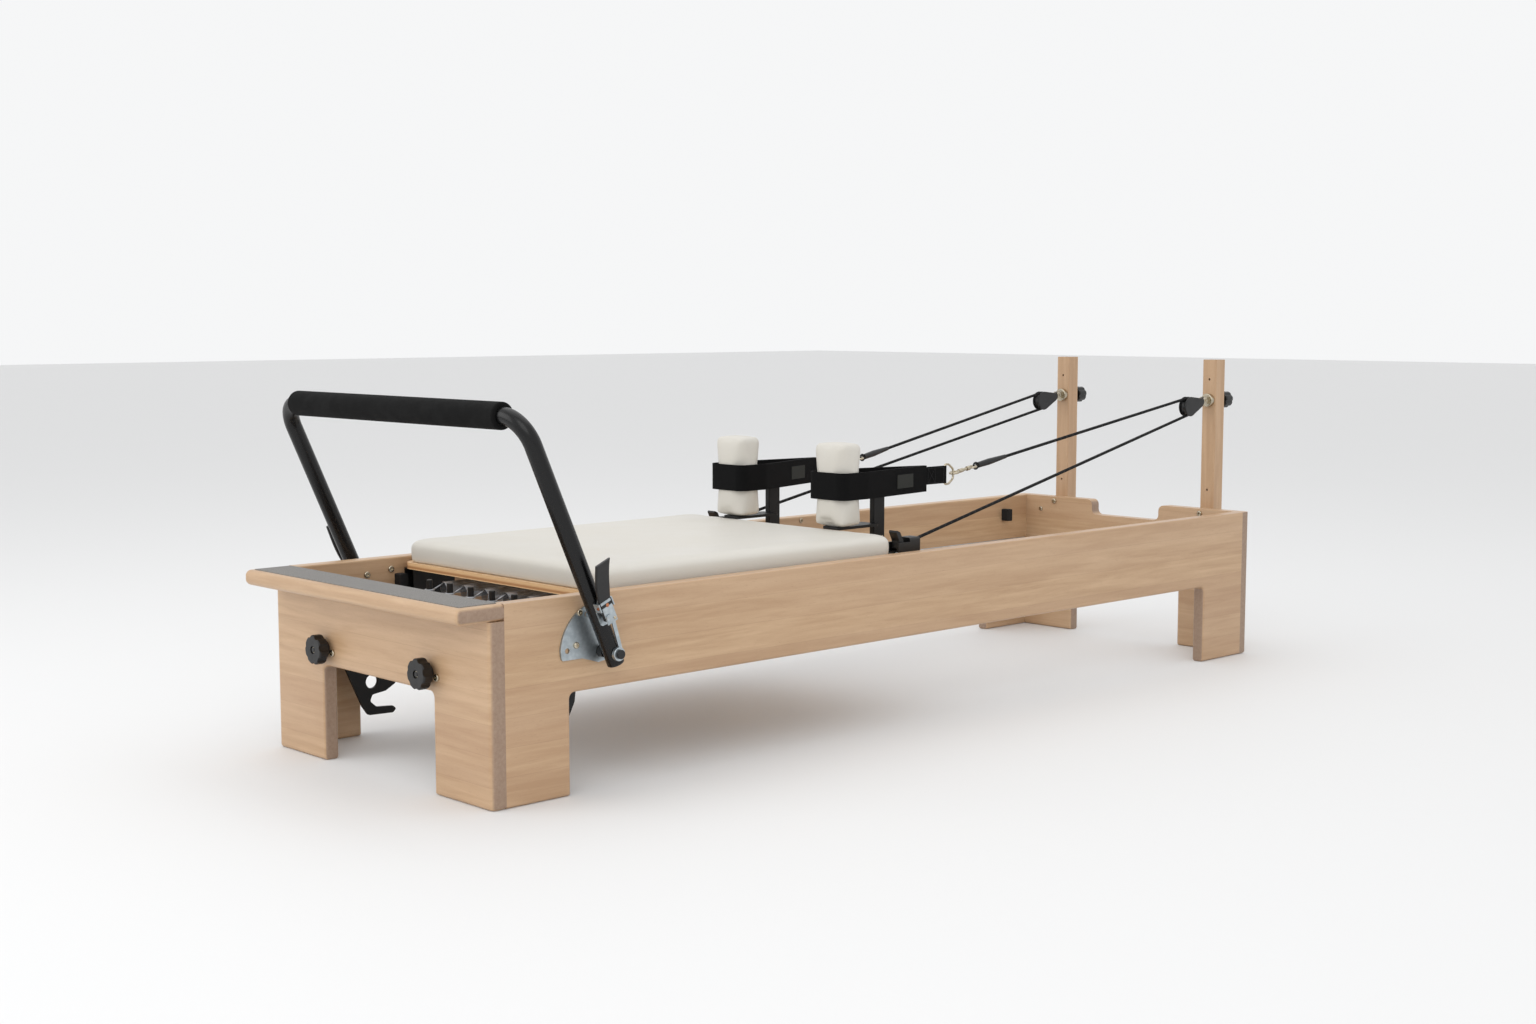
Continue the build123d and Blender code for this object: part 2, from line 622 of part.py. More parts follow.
# ---- carriage ----
WHEEL_R = 28.0
WHEEL_FLANGE_R = 31.0
WHEEL_Z = TRACK_TOP + WHEEL_R + 0.3
WHEEL_X = (CARRIAGE_FRONT + 57, DECK_END - 57)
AXLE_R = 4.0
BRACKET_LENGTH = 100.0
BRACKET_IN = 290.0
BRACKET_OUT = 324.5
BRACKET_WALL = 3.0


def carriage_deck():
    """Plywood base of the carriage."""
    x0, x1, y = CARRIAGE_FRONT, DECK_END, CARRIAGE_HALF_WIDTH
    points = [(x0, -y), (x1, -y), (x1, y), (x0, y)]
    return slab_xy(points, [34, 20, 20, 34], DECK_BOTTOM, DECK_TOP)


def carriage_cushion():
    """Flat upholstered pad that covers the deck up to the shoulder rests."""
    x0, x1, y = CARRIAGE_FRONT, CUSHION_END, CARRIAGE_HALF_WIDTH
    points = [(x0, -y), (x1, -y), (x1, y), (x0, y)]
    pad = slab_xy(points, [34, 30, 30, 34], DECK_TOP, CUSHION_TOP)
    return fillet(pad.faces().sort_by(Axis.Z)[-1].edges(), 13)


def wheel_bracket(x):
    """Near inverted channel that straddles one wheel."""
    z0 = TRACK_TOP + 7
    x0, x1 = x - BRACKET_LENGTH / 2, x + BRACKET_LENGTH / 2
    web = block(x0, x1, -BRACKET_OUT, -BRACKET_IN, DECK_BOTTOM - BRACKET_WALL, DECK_BOTTOM)
    points = [
        (x0, DECK_BOTTOM - BRACKET_WALL), (x0, 290), (x - 24, z0), (x + 24, z0),
        (x1, 290), (x1, DECK_BOTTOM - BRACKET_WALL),
    ]
    radii = [0, 10, 12, 12, 10, 0]
    inner = slab_xz(points, radii, -BRACKET_IN - BRACKET_WALL, -BRACKET_IN)
    outer = slab_xz(points, radii, -BRACKET_OUT, -BRACKET_OUT + BRACKET_WALL)
    bracket = web + inner + outer
    return bracket - rod_y(x, -BRACKET_OUT - 1, -BRACKET_IN + 1, WHEEL_Z, AXLE_R)


def axle_bolt(x):
    """Near axle bolt through a bracket."""
    shank = rod_y(x, -BRACKET_OUT - 1.5, -BRACKET_IN + 5, WHEEL_Z, AXLE_R)
    head = Pos(x, -BRACKET_IN, WHEEL_Z) * Rot(-90, 0, 0) * extrude(RegularPolygon(7.5, 6), 5)
    return shank + head


def carriage_wheel(x):
    """Near flanged wheel."""
    tread = rod_y(x, -318.5, -299.5, WHEEL_Z, WHEEL_R)
    tread = fillet(tread.edges().sort_by(Axis.Y)[0], 1.5)
    flange = rod_y(x, -299.5, -296.0, WHEEL_Z, WHEEL_FLANGE_R)
    wheel = tread + fillet(flange.edges().sort_by(Axis.Y)[-1], 1)
    recess = rod_y(x, -320, -314, WHEEL_Z, 20) - rod_y(x, -321, -313, WHEEL_Z, 9)
    return wheel - recess - rod_y(x, -321, -295, WHEEL_Z, AXLE_R + 0.06)


# ---- springs ----
SPRING_Y = (-140.0, -70.0, 0.0, 70.0, 140.0)
SPRING_Z = 316.0
SPRING_R = 14.0
SPRING_WIRE = 3.2
SPRING_BAR_X = (190.0, 236.0)
PEG_X = 213.0
PEG_R = 6.0
PEG_TOP = 336.0
ANCHOR_X = 760.0
BAR_TOP = 304.0
BAR_DEPTH = 24.0
HOOK_PLATE_Y = 282.0


def spring_bar():
    """Steel channel across the well that holds the spring pegs."""
    x0, x1 = SPRING_BAR_X
    y = HOOK_PLATE_Y - 3
    low = BAR_TOP - BAR_DEPTH
    points = [(x0, low), (x0 + 4, low), (x0 + 4, BAR_TOP - 4), (x1 - 4, BAR_TOP - 4),
              (x1 - 4, low), (x1, low), (x1, BAR_TOP), (x0, BAR_TOP)]
    return slab_xz(points, [0, 0, 2, 2, 0, 0, 4, 4], -y, y)


def spring_pegs():
    """One headed peg per spring."""
    pegs = []
    for y in SPRING_Y:
        peg = rod_z(PEG_X, y, BAR_TOP, PEG_TOP, PEG_R)
        pegs.append(fillet(peg.edges().sort_by(Axis.Z)[-1], 1.5))
    return pegs


def hook_plate():
    """Near black plate behind the foot panel: carries the spring bar and ends in two hooks."""
    y0, y1 = -HOOK_PLATE_Y - 3, -HOOK_PLATE_Y + 3
    body = slab_xz(
        [(34, 330), (34, 216), (92, 190), (107, 147), (141, 72), (155, 52), (212, 50),
         (220, 57), (213, 64), (174, 67), (159, 80), (165, 93), (196, 97), (219, 110),
         (240, 150), (247, 208), (240, 268), (240, 306), (184, 308)],
        [6, 10, 16, 16, 10, 8, 4, 3, 4, 8, 6, 6, 10, 12, 20, 30, 12, 5, 20],
        y0, y1,
    )
    window = rod_y(164, y0 - 1, y1 + 1, 120, 14)
    flange = block(BOARD, 34, y0 - 18, y1 + 18, 216, 330)
    return body - window + fillet(flange.edges().filter_by(Axis.X), 4)


def spring_anchor():
    """Cross bar under the deck with one eye per spring."""
    bar = block(ANCHOR_X, ANCHOR_X + 30, -180, 180, DECK_BOTTOM - 6, DECK_BOTTOM)
    for y in SPRING_Y:
        lug = block(ANCHOR_X, ANCHOR_X + 5, y - 10, y + 10, SPRING_Z - 9, DECK_BOTTOM - 6)
        bar += lug - rod_x(ANCHOR_X - 1, ANCHOR_X + 6, y, SPRING_Z, 4)
    return bar


def spring(y):
    """Closed-wound extension spring as a plain sleeve, with an end ring over its peg."""
    x0, x1 = PEG_X + 32, ANCHOR_X - 14
    coil = rod_x(x0, x1, y, SPRING_Z, SPRING_R)
    coil -= rod_x(x0 + 6, x1 - 6, y, SPRING_Z, SPRING_R - SPRING_WIRE)
    ring = rod_z(PEG_X, y, SPRING_Z - 2, SPRING_Z + 2, PEG_R + 5)
    ring -= rod_z(PEG_X, y, SPRING_Z - 3, SPRING_Z + 3, PEG_R + 0.5)
    front = rod_x(PEG_X + 9, x0 + 1, y, SPRING_Z, 2)
    back = rod_x(x1 - 1, ANCHOR_X + 3, y, SPRING_Z, 2)
    return coil + ring + front + back


# ---- shoulder rests ----
REST_Y = 158.0
PAD_X = (1019.0, 1091.0)
PAD_HALF = 50.0
PAD_Z = (402.5, 585.0)
POST_X = (1153.0, 1187.0)
POST_Y = 165.5
POST_HALF = 7.0
POST_TOP = 505.0
ARM_Z = (396.5, 402.5)


def rest_bracket():
    """Near steel bracket: foot on the deck, upright post, and arm under the pad."""
    x0, x1 = POST_X
    foot = block(x0 - 22, DECK_END - 4, -POST_Y - 34, -POST_Y + 34, DECK_TOP, DECK_TOP + 6)
    foot = fillet(foot.edges().filter_by(Axis.Z), 5)
    post = block(x0, x1, -POST_Y - POST_HALF, -POST_Y + POST_HALF, DECK_TOP + 5, POST_TOP)
    post = fillet(post.edges().filter_by(Axis.Z), 2)
    arm = block(PAD_X[0] + 14, x0 + 4, -REST_Y - 26, -REST_Y + 26, *ARM_Z)
    arm = fillet(arm.edges().filter_by(Axis.Z), 6)
    holes = [rod_z(PAD_X[0] + dx, -REST_Y, ARM_Z[0] - 1, ARM_Z[1] + 1, 3) for dx in (26, 54)]
    return foot + post + arm - holes[0] - holes[1]


def rest_screws():
    """Screw heads on the bracket feet and posts."""
    heads = []
    for x in (POST_X[0] - 14, DECK_END - 11):
        for dy in (-24, 24):
            head = rod_z(x, -POST_Y + dy, DECK_TOP + 6, DECK_TOP + 9, 5)
            heads += both_sides(fillet(head.edges().sort_by(Axis.Z)[-1], 1.5))
    for dx in (8, 17, 26):
        heads += both_sides(pan_head(POST_X[0] + dx, -POST_Y - POST_HALF, 372, "-y", 2.6, 1.6))
    return heads


def shoulder_pad():
    """Near upright pad."""
    (x0, x1), (z0, z1) = PAD_X, PAD_Z
    pad = block(x0, x1, -REST_Y - PAD_HALF, -REST_Y + PAD_HALF, z0, z1)
    pad = fillet(pad.edges().filter_by(Axis.Z), 18)
    pad = fillet(pad.faces().sort_by(Axis.Z)[-1].edges(), 12)
    return fillet(pad.faces().sort_by(Axis.Z)[0].edges(), 5)


# ---- straps, hooks and ropes ----
STRAP_Z = (462.0, 520.0)
STRAP_THICK = 4.0
STRAP_JOIN_X = 1300.0
STRAP_END_X = 1383.0
STRAP_END_Y = 173.5
STRAP_TAIL_Z = (477.0, 516.0)
D_RING_WIRE = 2.5
HOOK_START = (1405.0, -STRAP_END_Y, 497.0)
HOOK_LENGTH = 82.0
TERMINAL_LENGTH = 96.0


def strap():
    """Near webbing loop round the pad and post, narrowed to a sewn tail."""
    gap, t = 0.8, STRAP_THICK
    x0, x1 = PAD_X[0] - gap, PAD_X[1]
    y_in, y_out = -REST_Y + PAD_HALF + gap, -REST_Y - PAD_HALF - gap
    join_in, join_out = -STRAP_END_Y + 0.4, -STRAP_END_Y - 0.4
    inner = [(x0, y_out), (x1, y_out), (STRAP_JOIN_X, join_out), (STRAP_JOIN_X, join_in),
             (x1, y_in), (x0, y_in)]
    outer = [(x0 - t, y_out - t), (x1, y_out - t), (STRAP_JOIN_X + 17, join_out - t),
             (STRAP_JOIN_X + 17, join_in + t), (x1, y_in + t), (x0 - t, y_in + t)]
    loop = slab_xy(outer, [22, 40, 0, 0, 40, 22], *STRAP_Z)
    loop -= slab_xy(inner, [18, 36, 0, 0, 36, 18], STRAP_Z[0] - 1, STRAP_Z[1] + 1)
    y0, y1 = join_out - t + 0.6, join_in + t - 0.6
    tail = block(STRAP_JOIN_X + 10, STRAP_END_X, y0, y1, *STRAP_TAIL_Z)
    fold = rod_z(STRAP_END_X, -STRAP_END_Y, *STRAP_TAIL_Z, (y1 - y0) / 2)
    bar = rod_z(STRAP_END_X, -STRAP_END_Y, STRAP_TAIL_Z[0] - 1, STRAP_TAIL_Z[1] + 1, D_RING_WIRE + 0.05)
    return loop + tail + fold - bar


def d_ring():
    """Near D-shaped ring: straight side in the strap's fold, bow towards the hook."""
    half = 22.3
    x, y, z = STRAP_END_X, -STRAP_END_Y, (STRAP_TAIL_Z[0] + STRAP_TAIL_Z[1]) / 2
    reach = 28.0
    bow = [(x, y, z - half), (x + 12, y, z - half), (x + reach, y, z - 11), (x + reach, y, z + 11),
           (x + 12, y, z + half), (x, y, z + half)]
    path = FilletPolyline(*bow, radius=[4, 10, 10, 10, 10, 4], close=True)
    return sweep(Plane(origin=path @ 0, z_dir=path % 0) * Circle(D_RING_WIRE), path=path)


def rope_line():
    """Centre of the near sheave, and the tangent points of the upper and lower rope legs."""
    here = swivel_frame()
    centre = here.from_local_coords((BLOCK_REACH, 0, 0))
    wrap = SHEAVE_ROOT + ROPE_R + 0.4
    return centre, wrap


def hook_frame():
    """Plane at the D-ring's bow with z along the rope towards the sheave."""
    centre, wrap = rope_line()
    start = Vector(*HOOK_START)
    target = Vector(centre.X, centre.Y, centre.Z + wrap)
    return Plane(origin=start, z_dir=(target - start), x_dir=(0, 1, 0))


def snap_hook():
    """Near snap hook: hook bow, body with swivel, and eye."""
    here = hook_frame()
    bow_r, wire = 10.0, 2.6
    bow = Pos(0, 0, 10) * Rot(90, 0, 0) * Torus(bow_r, wire)
    body = Pos(0, 0, 34) * Cylinder(3.4, 30)
    gate = Pos(0, 0, 30) * Cylinder(4.8, 12)
    swivel = Pos(0, 0, 54) * Cylinder(5.2, 9)
    eye = Pos(0, 0, 69) * Rot(90, 0, 0) * Torus(8.5, 2.4)
    neck = Pos(0, 0, 59) * Cylinder(2.6, 6)
    return here * (bow + body + gate + swivel + neck + eye)


def rope_eye():
    """Near rope thimble and tapered sleeve where the rope is spliced back on itself."""
    here = hook_frame()
    loop = Pos(0, 0, HOOK_LENGTH - 2.8) * Rot(0, 90, 0) * Torus(7.0, 2.3)
    sleeve = loft([
        Pos(0, 0, HOOK_LENGTH + 3) * Circle(6.6),
        Pos(0, 0, HOOK_LENGTH + 40) * Circle(7.4),
        Pos(0, 0, HOOK_LENGTH + TERMINAL_LENGTH) * Circle(4.6),
    ], ruled=True)
    return here * (loop + sleeve)


CLEAT_X = 1134.0
CLEAT_Y = 288.0
ROPE_SHIFT = 1.0
ROPE_BEND_SHARE = 0.97


def cleat_plate():
    """Near zinc plate under a rope cleat, with its two screw heads."""
    plate = block(CLEAT_X - 56, CLEAT_X + 34, -CLEAT_Y - 22, -CLEAT_Y + 22, DECK_TOP, DECK_TOP + 3)
    plate = fillet(plate.edges().filter_by(Axis.Z), 5)
    for dx in (-50, 29):
        for dy in (-16, 16):
            head = rod_z(CLEAT_X + dx, -CLEAT_Y + dy, DECK_TOP + 3, DECK_TOP + 5.5, 3.6)
            plate += fillet(head.edges().sort_by(Axis.Z)[-1], 1.2)
    return plate


def rope_foot():
    """Near rope's end in its cleat and the corner it heads for under the sheave."""
    wrap = rope_line()[1]
    corner = swivel_frame().from_local_coords((BLOCK_REACH - wrap, wrap, 0))
    corner = Vector(corner.X, corner.Y + ROPE_SHIFT, corner.Z)
    return Vector(CLEAT_X - 8, -CLEAT_Y, DECK_TOP + 20), corner


def cleat_body():
    """Near cleat: two cheeks over a floor, and a roof that the rope runs in under."""
    x0, x1 = CLEAT_X - 46, CLEAT_X + 22
    z0 = DECK_TOP + 3
    body = block(x0, x1, -CLEAT_Y - 17, -CLEAT_Y + 17, z0, z0 + 4)
    roof = block(CLEAT_X - 10, x1, -CLEAT_Y - 17, -CLEAT_Y + 17, z0, z0 + 31)
    body += fillet(roof.edges().filter_by(Axis.X).group_by(Axis.Z)[-1], 5)
    for side in (-1, 1):
        y = -CLEAT_Y + side * 14.5
        body += block(x0, CLEAT_X - 9, y - 2.5, y + 2.5, z0, z0 + 22)
    end, corner = rope_foot()
    bore = Plane(origin=end, z_dir=corner - end) * Cylinder(ROPE_R, 120)
    pin = rod_y(CLEAT_X - 30, -CLEAT_Y - 17, -CLEAT_Y + 17, z0 + 14, 2.5)
    return body - bore + pin


def cleat_lever():
    """Near cam lever that bites the rope, lifted by a thumb tab."""
    z0 = DECK_TOP + 3
    x = CLEAT_X - 30
    points = [(x - 8, z0 + 7), (x + 6, z0 + 6.5), (x + 9, z0 + 14), (x + 6, z0 + 24),
              (x - 4, z0 + 44), (x - 14, z0 + 48), (x - 16, z0 + 44), (x - 7, z0 + 26)]
    lever = slab_xz(points, [3, 3, 4, 4, 6, 2, 2, 6], -CLEAT_Y - 11, -CLEAT_Y + 11)
    return lever - rod_y(x, -CLEAT_Y - 12, -CLEAT_Y + 12, z0 + 14, 2.56)


def rope():
    """Near rope: from its splice over the sheave and back down to the cleat."""
    start = hook_frame().from_local_coords((0, 0, HOOK_LENGTH + TERMINAL_LENGTH + 0.1))
    wrap = rope_line()[1]
    over = swivel_frame().from_local_coords((BLOCK_REACH - wrap, -wrap, 0))
    over = Vector(over.X, over.Y - ROPE_SHIFT, over.Z)
    end, under = rope_foot()
    bend = wrap * ROPE_BEND_SHARE
    path = FilletPolyline(start, over, under, end, radius=[bend, bend])
    section = Plane(origin=path @ 0, z_dir=path % 0) * Circle(ROPE_R)
    cord = sweep(section, path=path)
    share = cord.volume / (pi * ROPE_R**2 * path.length)
    print(f"rope: length {path.length:.1f} mm, diameter {2 * ROPE_R:.1f} mm, "
          f"bend radii {bend:.2f} and {bend:.2f} mm, volume / (section x length) {share:.4f}")
    return cord


def main():
    os.makedirs("parts", exist_ok=True)
    write("foot_panel", foot_panel())
    write("head_panel", head_panel())
    write("standing_platform", standing_platform())
    write("platform_grip_strip", platform_grip_strip())
    write("riser_bolts", riser_bolts())
    write("carriage_stops", carriage_stops())
    write("frame_screws", frame_screws())
    write("pivot_bolts", both_sides(pivot_bolt()))
    write("pivot_caps", both_sides(pivot_cap()))
    write("pivot_bushes", both_sides(pivot_bush()))
    write("footbar_tube", footbar_tube())
    write("footbar_grip", footbar_grip())
    write("footbar_end_plugs", both_sides(end_plug()))
    write("latch_plates", both_sides(latch_plate()))
    write("latch_rivets", [twin for rivet in latch_rivets() for twin in both_sides(rivet)])
    write("carriage_deck", carriage_deck())
    write("carriage_cushion", carriage_cushion())
    write("wheel_brackets", [twin for x in WHEEL_X for twin in both_sides(wheel_bracket(x))])
    write("axle_bolts", [twin for x in WHEEL_X for twin in both_sides(axle_bolt(x))])
    write("carriage_wheels_foot", both_sides(carriage_wheel(WHEEL_X[0])))
    write("carriage_wheels_head", both_sides(carriage_wheel(WHEEL_X[1])))
    write("spring_bar", spring_bar())
    write("spring_pegs", spring_pegs())
    write("spring_anchor", spring_anchor())
    write("springs", [spring(y) for y in SPRING_Y])
    write("rest_screws", rest_screws())
    write("d_rings", both_sides(d_ring()))
    write("cleat_plates", both_sides(cleat_plate()))
    write("pulley_studs", both_sides(pulley_stud()))
    write("carriage_tracks", both_sides(carriage_track()))
    write("hook_plates", both_sides(hook_plate()))
    write("snap_hooks", both_sides(snap_hook()))
    write("rope_eyes", both_sides(rope_eye()))
    write("cleat_bodies", both_sides(cleat_body()))
    write("quadrant_plates", both_sides(quadrant_plate()))
    write("rest_brackets", both_sides(rest_bracket()))
    handed = {
        "side_rail": side_rail, "riser": riser, "latch_lever": latch_lever,
        "latch_pin": latch_pin, "riser_knob": riser_knob, "pulley_block": pulley_block,
        "sheave": sheave, "shoulder_pad": shoulder_pad, "strap": strap,
        "cleat_lever": cleat_lever, "rope": rope,
    }
    for side, word in ((NEAR, "near"), (FAR, "far")):
        write(f"clamp_knob_{word}", clamp_knob(side))
        for name, make in handed.items():
            write(f"{name}_{word}", on_side(side, make()))


main()
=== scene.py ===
import json
from math import atan, cos, pi, radians, sin

import bpy
import numpy as np
from bpy.props import FloatProperty, FloatVectorProperty, IntProperty, PointerProperty
from mathutils import Matrix, Vector


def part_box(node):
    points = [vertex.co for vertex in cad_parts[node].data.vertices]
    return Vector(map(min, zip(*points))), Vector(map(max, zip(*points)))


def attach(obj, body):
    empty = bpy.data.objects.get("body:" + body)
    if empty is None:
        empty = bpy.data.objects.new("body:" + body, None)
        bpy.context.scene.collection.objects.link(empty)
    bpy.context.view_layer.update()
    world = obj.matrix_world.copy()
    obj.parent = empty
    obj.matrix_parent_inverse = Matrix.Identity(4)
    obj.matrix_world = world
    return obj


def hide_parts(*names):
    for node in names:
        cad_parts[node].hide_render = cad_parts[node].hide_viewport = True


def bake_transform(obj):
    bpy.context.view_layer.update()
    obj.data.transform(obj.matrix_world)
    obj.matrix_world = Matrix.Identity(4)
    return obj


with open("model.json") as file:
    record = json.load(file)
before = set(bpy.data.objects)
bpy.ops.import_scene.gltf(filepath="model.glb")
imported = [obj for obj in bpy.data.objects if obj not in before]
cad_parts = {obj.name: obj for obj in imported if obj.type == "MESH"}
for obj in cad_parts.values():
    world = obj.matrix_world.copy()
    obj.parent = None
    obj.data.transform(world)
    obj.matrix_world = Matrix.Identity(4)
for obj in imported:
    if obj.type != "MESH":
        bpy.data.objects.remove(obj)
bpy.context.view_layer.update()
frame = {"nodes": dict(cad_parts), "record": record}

bl_info = {
    "name": "Pilates reformer finish",
    "version": (1, 0, 0),
    "blender": (4, 5, 0),
    "location": "View3D > Sidebar > Reformer",
    "description": "Finishes, soft goods, springs and ropes of a wooden pilates reformer",
    "category": "Object",
}

NODES = frame["nodes"]
SIDES = (("near", -1), ("far", 1))

# Bench stations run from the foot panel's outer face; this shift turns them into the row frame.
STATION_SHIFT = 67.0 - 2477.0 / 2


def station(x, y, z):
    """Point given in bench millimetres, as a row-frame vector in metres."""
    return Vector(((x + STATION_SHIFT) / 1000, y / 1000, z / 1000))


def srgb(r, g, b):
    """Linear colour of an 8-bit display colour."""
    out = []
    for value in (r, g, b):
        c = value / 255
        out.append(c / 12.92 if c <= 0.04045 else ((c + 0.055) / 1.055) ** 2.4)
    return (*out, 1.0)


# ---- settings ----
class ReformerSoftGoods(bpy.types.PropertyGroup):
    cushion_voxel: FloatProperty(
        name="Cushion grid", description="Remesh size of the cushion", default=0.006,
        unit="LENGTH",
    )
    pad_voxel: FloatProperty(
        name="Pad grid", description="Remesh size of a shoulder pad", default=0.004,
        unit="LENGTH",
    )
    pressure: FloatProperty(
        name="Filling", description="Pressure that fills the covers", default=4.0,
    )
    cushion_crown: FloatProperty(
        name="Cushion crown", description="How far the cushion may swell", default=0.004,
        unit="LENGTH",
    )
    pad_crown: FloatProperty(
        name="Pad crown", description="How far a shoulder pad may swell", default=0.004,
        unit="LENGTH",
    )
    cover: FloatVectorProperty(
        name="Cover colour", description="Upholstery colour", subtype="COLOR", size=3,
        default=(0.60, 0.575, 0.525),
    )


class ReformerSprings(bpy.types.PropertyGroup):
    wire: FloatProperty(name="Wire", description="Wire radius", default=0.0015, unit="LENGTH")
    radius: FloatProperty(
        name="Coil radius", description="Radius to the wire's centre", default=0.0125,
        unit="LENGTH",
    )
    turns: IntProperty(name="Turns", description="Turns in a coil", default=150)


class ReformerStudio(bpy.types.PropertyGroup):
    lens: FloatProperty(name="Lens", description="Focal length on a 36 mm sensor", default=45.82)
    azimuth: FloatProperty(
        name="Azimuth", description="View direction round the reformer", default=-43.52,
    )
    elevation: FloatProperty(name="Elevation", description="View height angle", default=5.77)
    place: FloatVectorProperty(
        name="Place", description="Camera's place", subtype="XYZ", unit="LENGTH", size=3,
        default=(-3.1014, -3.0836, 0.8548),
    )
    floor: FloatVectorProperty(
        name="Floor colour", description="Colour of the floor", subtype="COLOR", size=3,
        default=(0.75, 0.75, 0.75),
    )


# ---- shader building ----
class Finish:
    """A node material being built, with short words for the nodes it uses."""

    def __init__(self, name):
        self.material = bpy.data.materials.new(name)
        self.material.use_nodes = True
        self.tree = self.material.node_tree
        self.tree.nodes.clear()
        self.out = self.tree.nodes.new("ShaderNodeOutputMaterial")
        self.surface = self.tree.nodes.new("ShaderNodeBsdfPrincipled")
        self.tree.links.new(self.surface.outputs["BSDF"], self.out.inputs["Surface"])
        self.coordinates = self.tree.nodes.new("ShaderNodeTexCoord")
        split = self.tree.nodes.new("ShaderNodeSeparateXYZ")
        self.tree.links.new(self.coordinates.outputs["Object"], split.inputs[0])
        self.axis = {"X": split.outputs[0], "Y": split.outputs[1], "Z": split.outputs[2]}
        facing = self.tree.nodes.new("ShaderNodeSeparateXYZ")
        self.tree.links.new(self.coordinates.outputs["Normal"], facing.inputs[0])
        self.facing = {"X": facing.outputs[0], "Y": facing.outputs[1], "Z": facing.outputs[2]}

    def feed(self, socket, value):
        if isinstance(value, bpy.types.NodeSocket):
            self.tree.links.new(value, socket)
        elif value is not None:
            socket.default_value = value

    def set(self, **values):
        """Values or sockets for the surface's own inputs."""
        for name, value in values.items():
            self.feed(self.surface.inputs[name.replace("_", " ")], value)

    def math(self, kind, a, b=None, c=None):
        node = self.tree.nodes.new("ShaderNodeMath")
        node.operation = kind
        for socket, value in zip(node.inputs, (a, b, c)):
            self.feed(socket, value)
        return node.outputs[0]

    def stretch(self, x, y, z):
        """Object coordinates scaled along each axis."""
        node = self.tree.nodes.new("ShaderNodeMapping")
        self.feed(node.inputs["Vector"], self.coordinates.outputs["Object"])
        node.inputs["Scale"].default_value = (x, y, z)
        return node.outputs[0]

    def noise(self, scale, detail=4.0, rough=0.5, vector=None, distortion=0.0):
        node = self.tree.nodes.new("ShaderNodeTexNoise")
        self.feed(node.inputs["Vector"], vector or self.coordinates.outputs["Object"])
        node.inputs["Scale"].default_value = scale
        node.inputs["Detail"].default_value = detail
        node.inputs["Roughness"].default_value = rough
        node.inputs["Distortion"].default_value = distortion
        return node.outputs["Fac"]

    def cells(self, scale, vector=None, feature="F1"):
        node = self.tree.nodes.new("ShaderNodeTexVoronoi")
        node.feature = feature
        self.feed(node.inputs["Vector"], vector or self.coordinates.outputs["Object"])
        node.inputs["Scale"].default_value = scale
        return node.outputs["Distance"]

    def chance(self, value):
        """One random number for each value."""
        node = self.tree.nodes.new("ShaderNodeTexWhiteNoise")
        node.noise_dimensions = "1D"
        self.feed(node.inputs["W"], value)
        return node.outputs["Value"]

    def spread(self, value, low, high, to_low=0.0, to_high=1.0):
        node = self.tree.nodes.new("ShaderNodeMapRange")
        self.feed(node.inputs["Value"], value)
        node.inputs["From Min"].default_value = low
        node.inputs["From Max"].default_value = high
        node.inputs["To Min"].default_value = to_low
        node.inputs["To Max"].default_value = to_high
        return node.outputs["Result"]

    def mix(self, amount, a, b, kind="MIX"):
        node = self.tree.nodes.new("ShaderNodeMix")
        node.data_type = "RGBA"
        node.blend_type = kind
        self.feed(node.inputs[0], amount)
        self.feed(node.inputs[6], a)
        self.feed(node.inputs[7], b)
        return node.outputs[2]

    def relief(self, height, strength, distance):
        node = self.tree.nodes.new("ShaderNodeBump")
        node.inputs["Strength"].default_value = strength
        node.inputs["Distance"].default_value = distance
        self.feed(node.inputs["Height"], height)
        previous = self.surface.inputs["Normal"].links
        if previous:
            self.feed(node.inputs["Normal"], previous[0].from_socket)
        self.feed(self.surface.inputs["Normal"], node.outputs["Normal"])


# ---- finishes ----
BEECH_LIGHT = srgb(199, 167, 132)
BEECH_DARK = srgb(180, 146, 111)
BEECH_END = srgb(140, 114, 94)


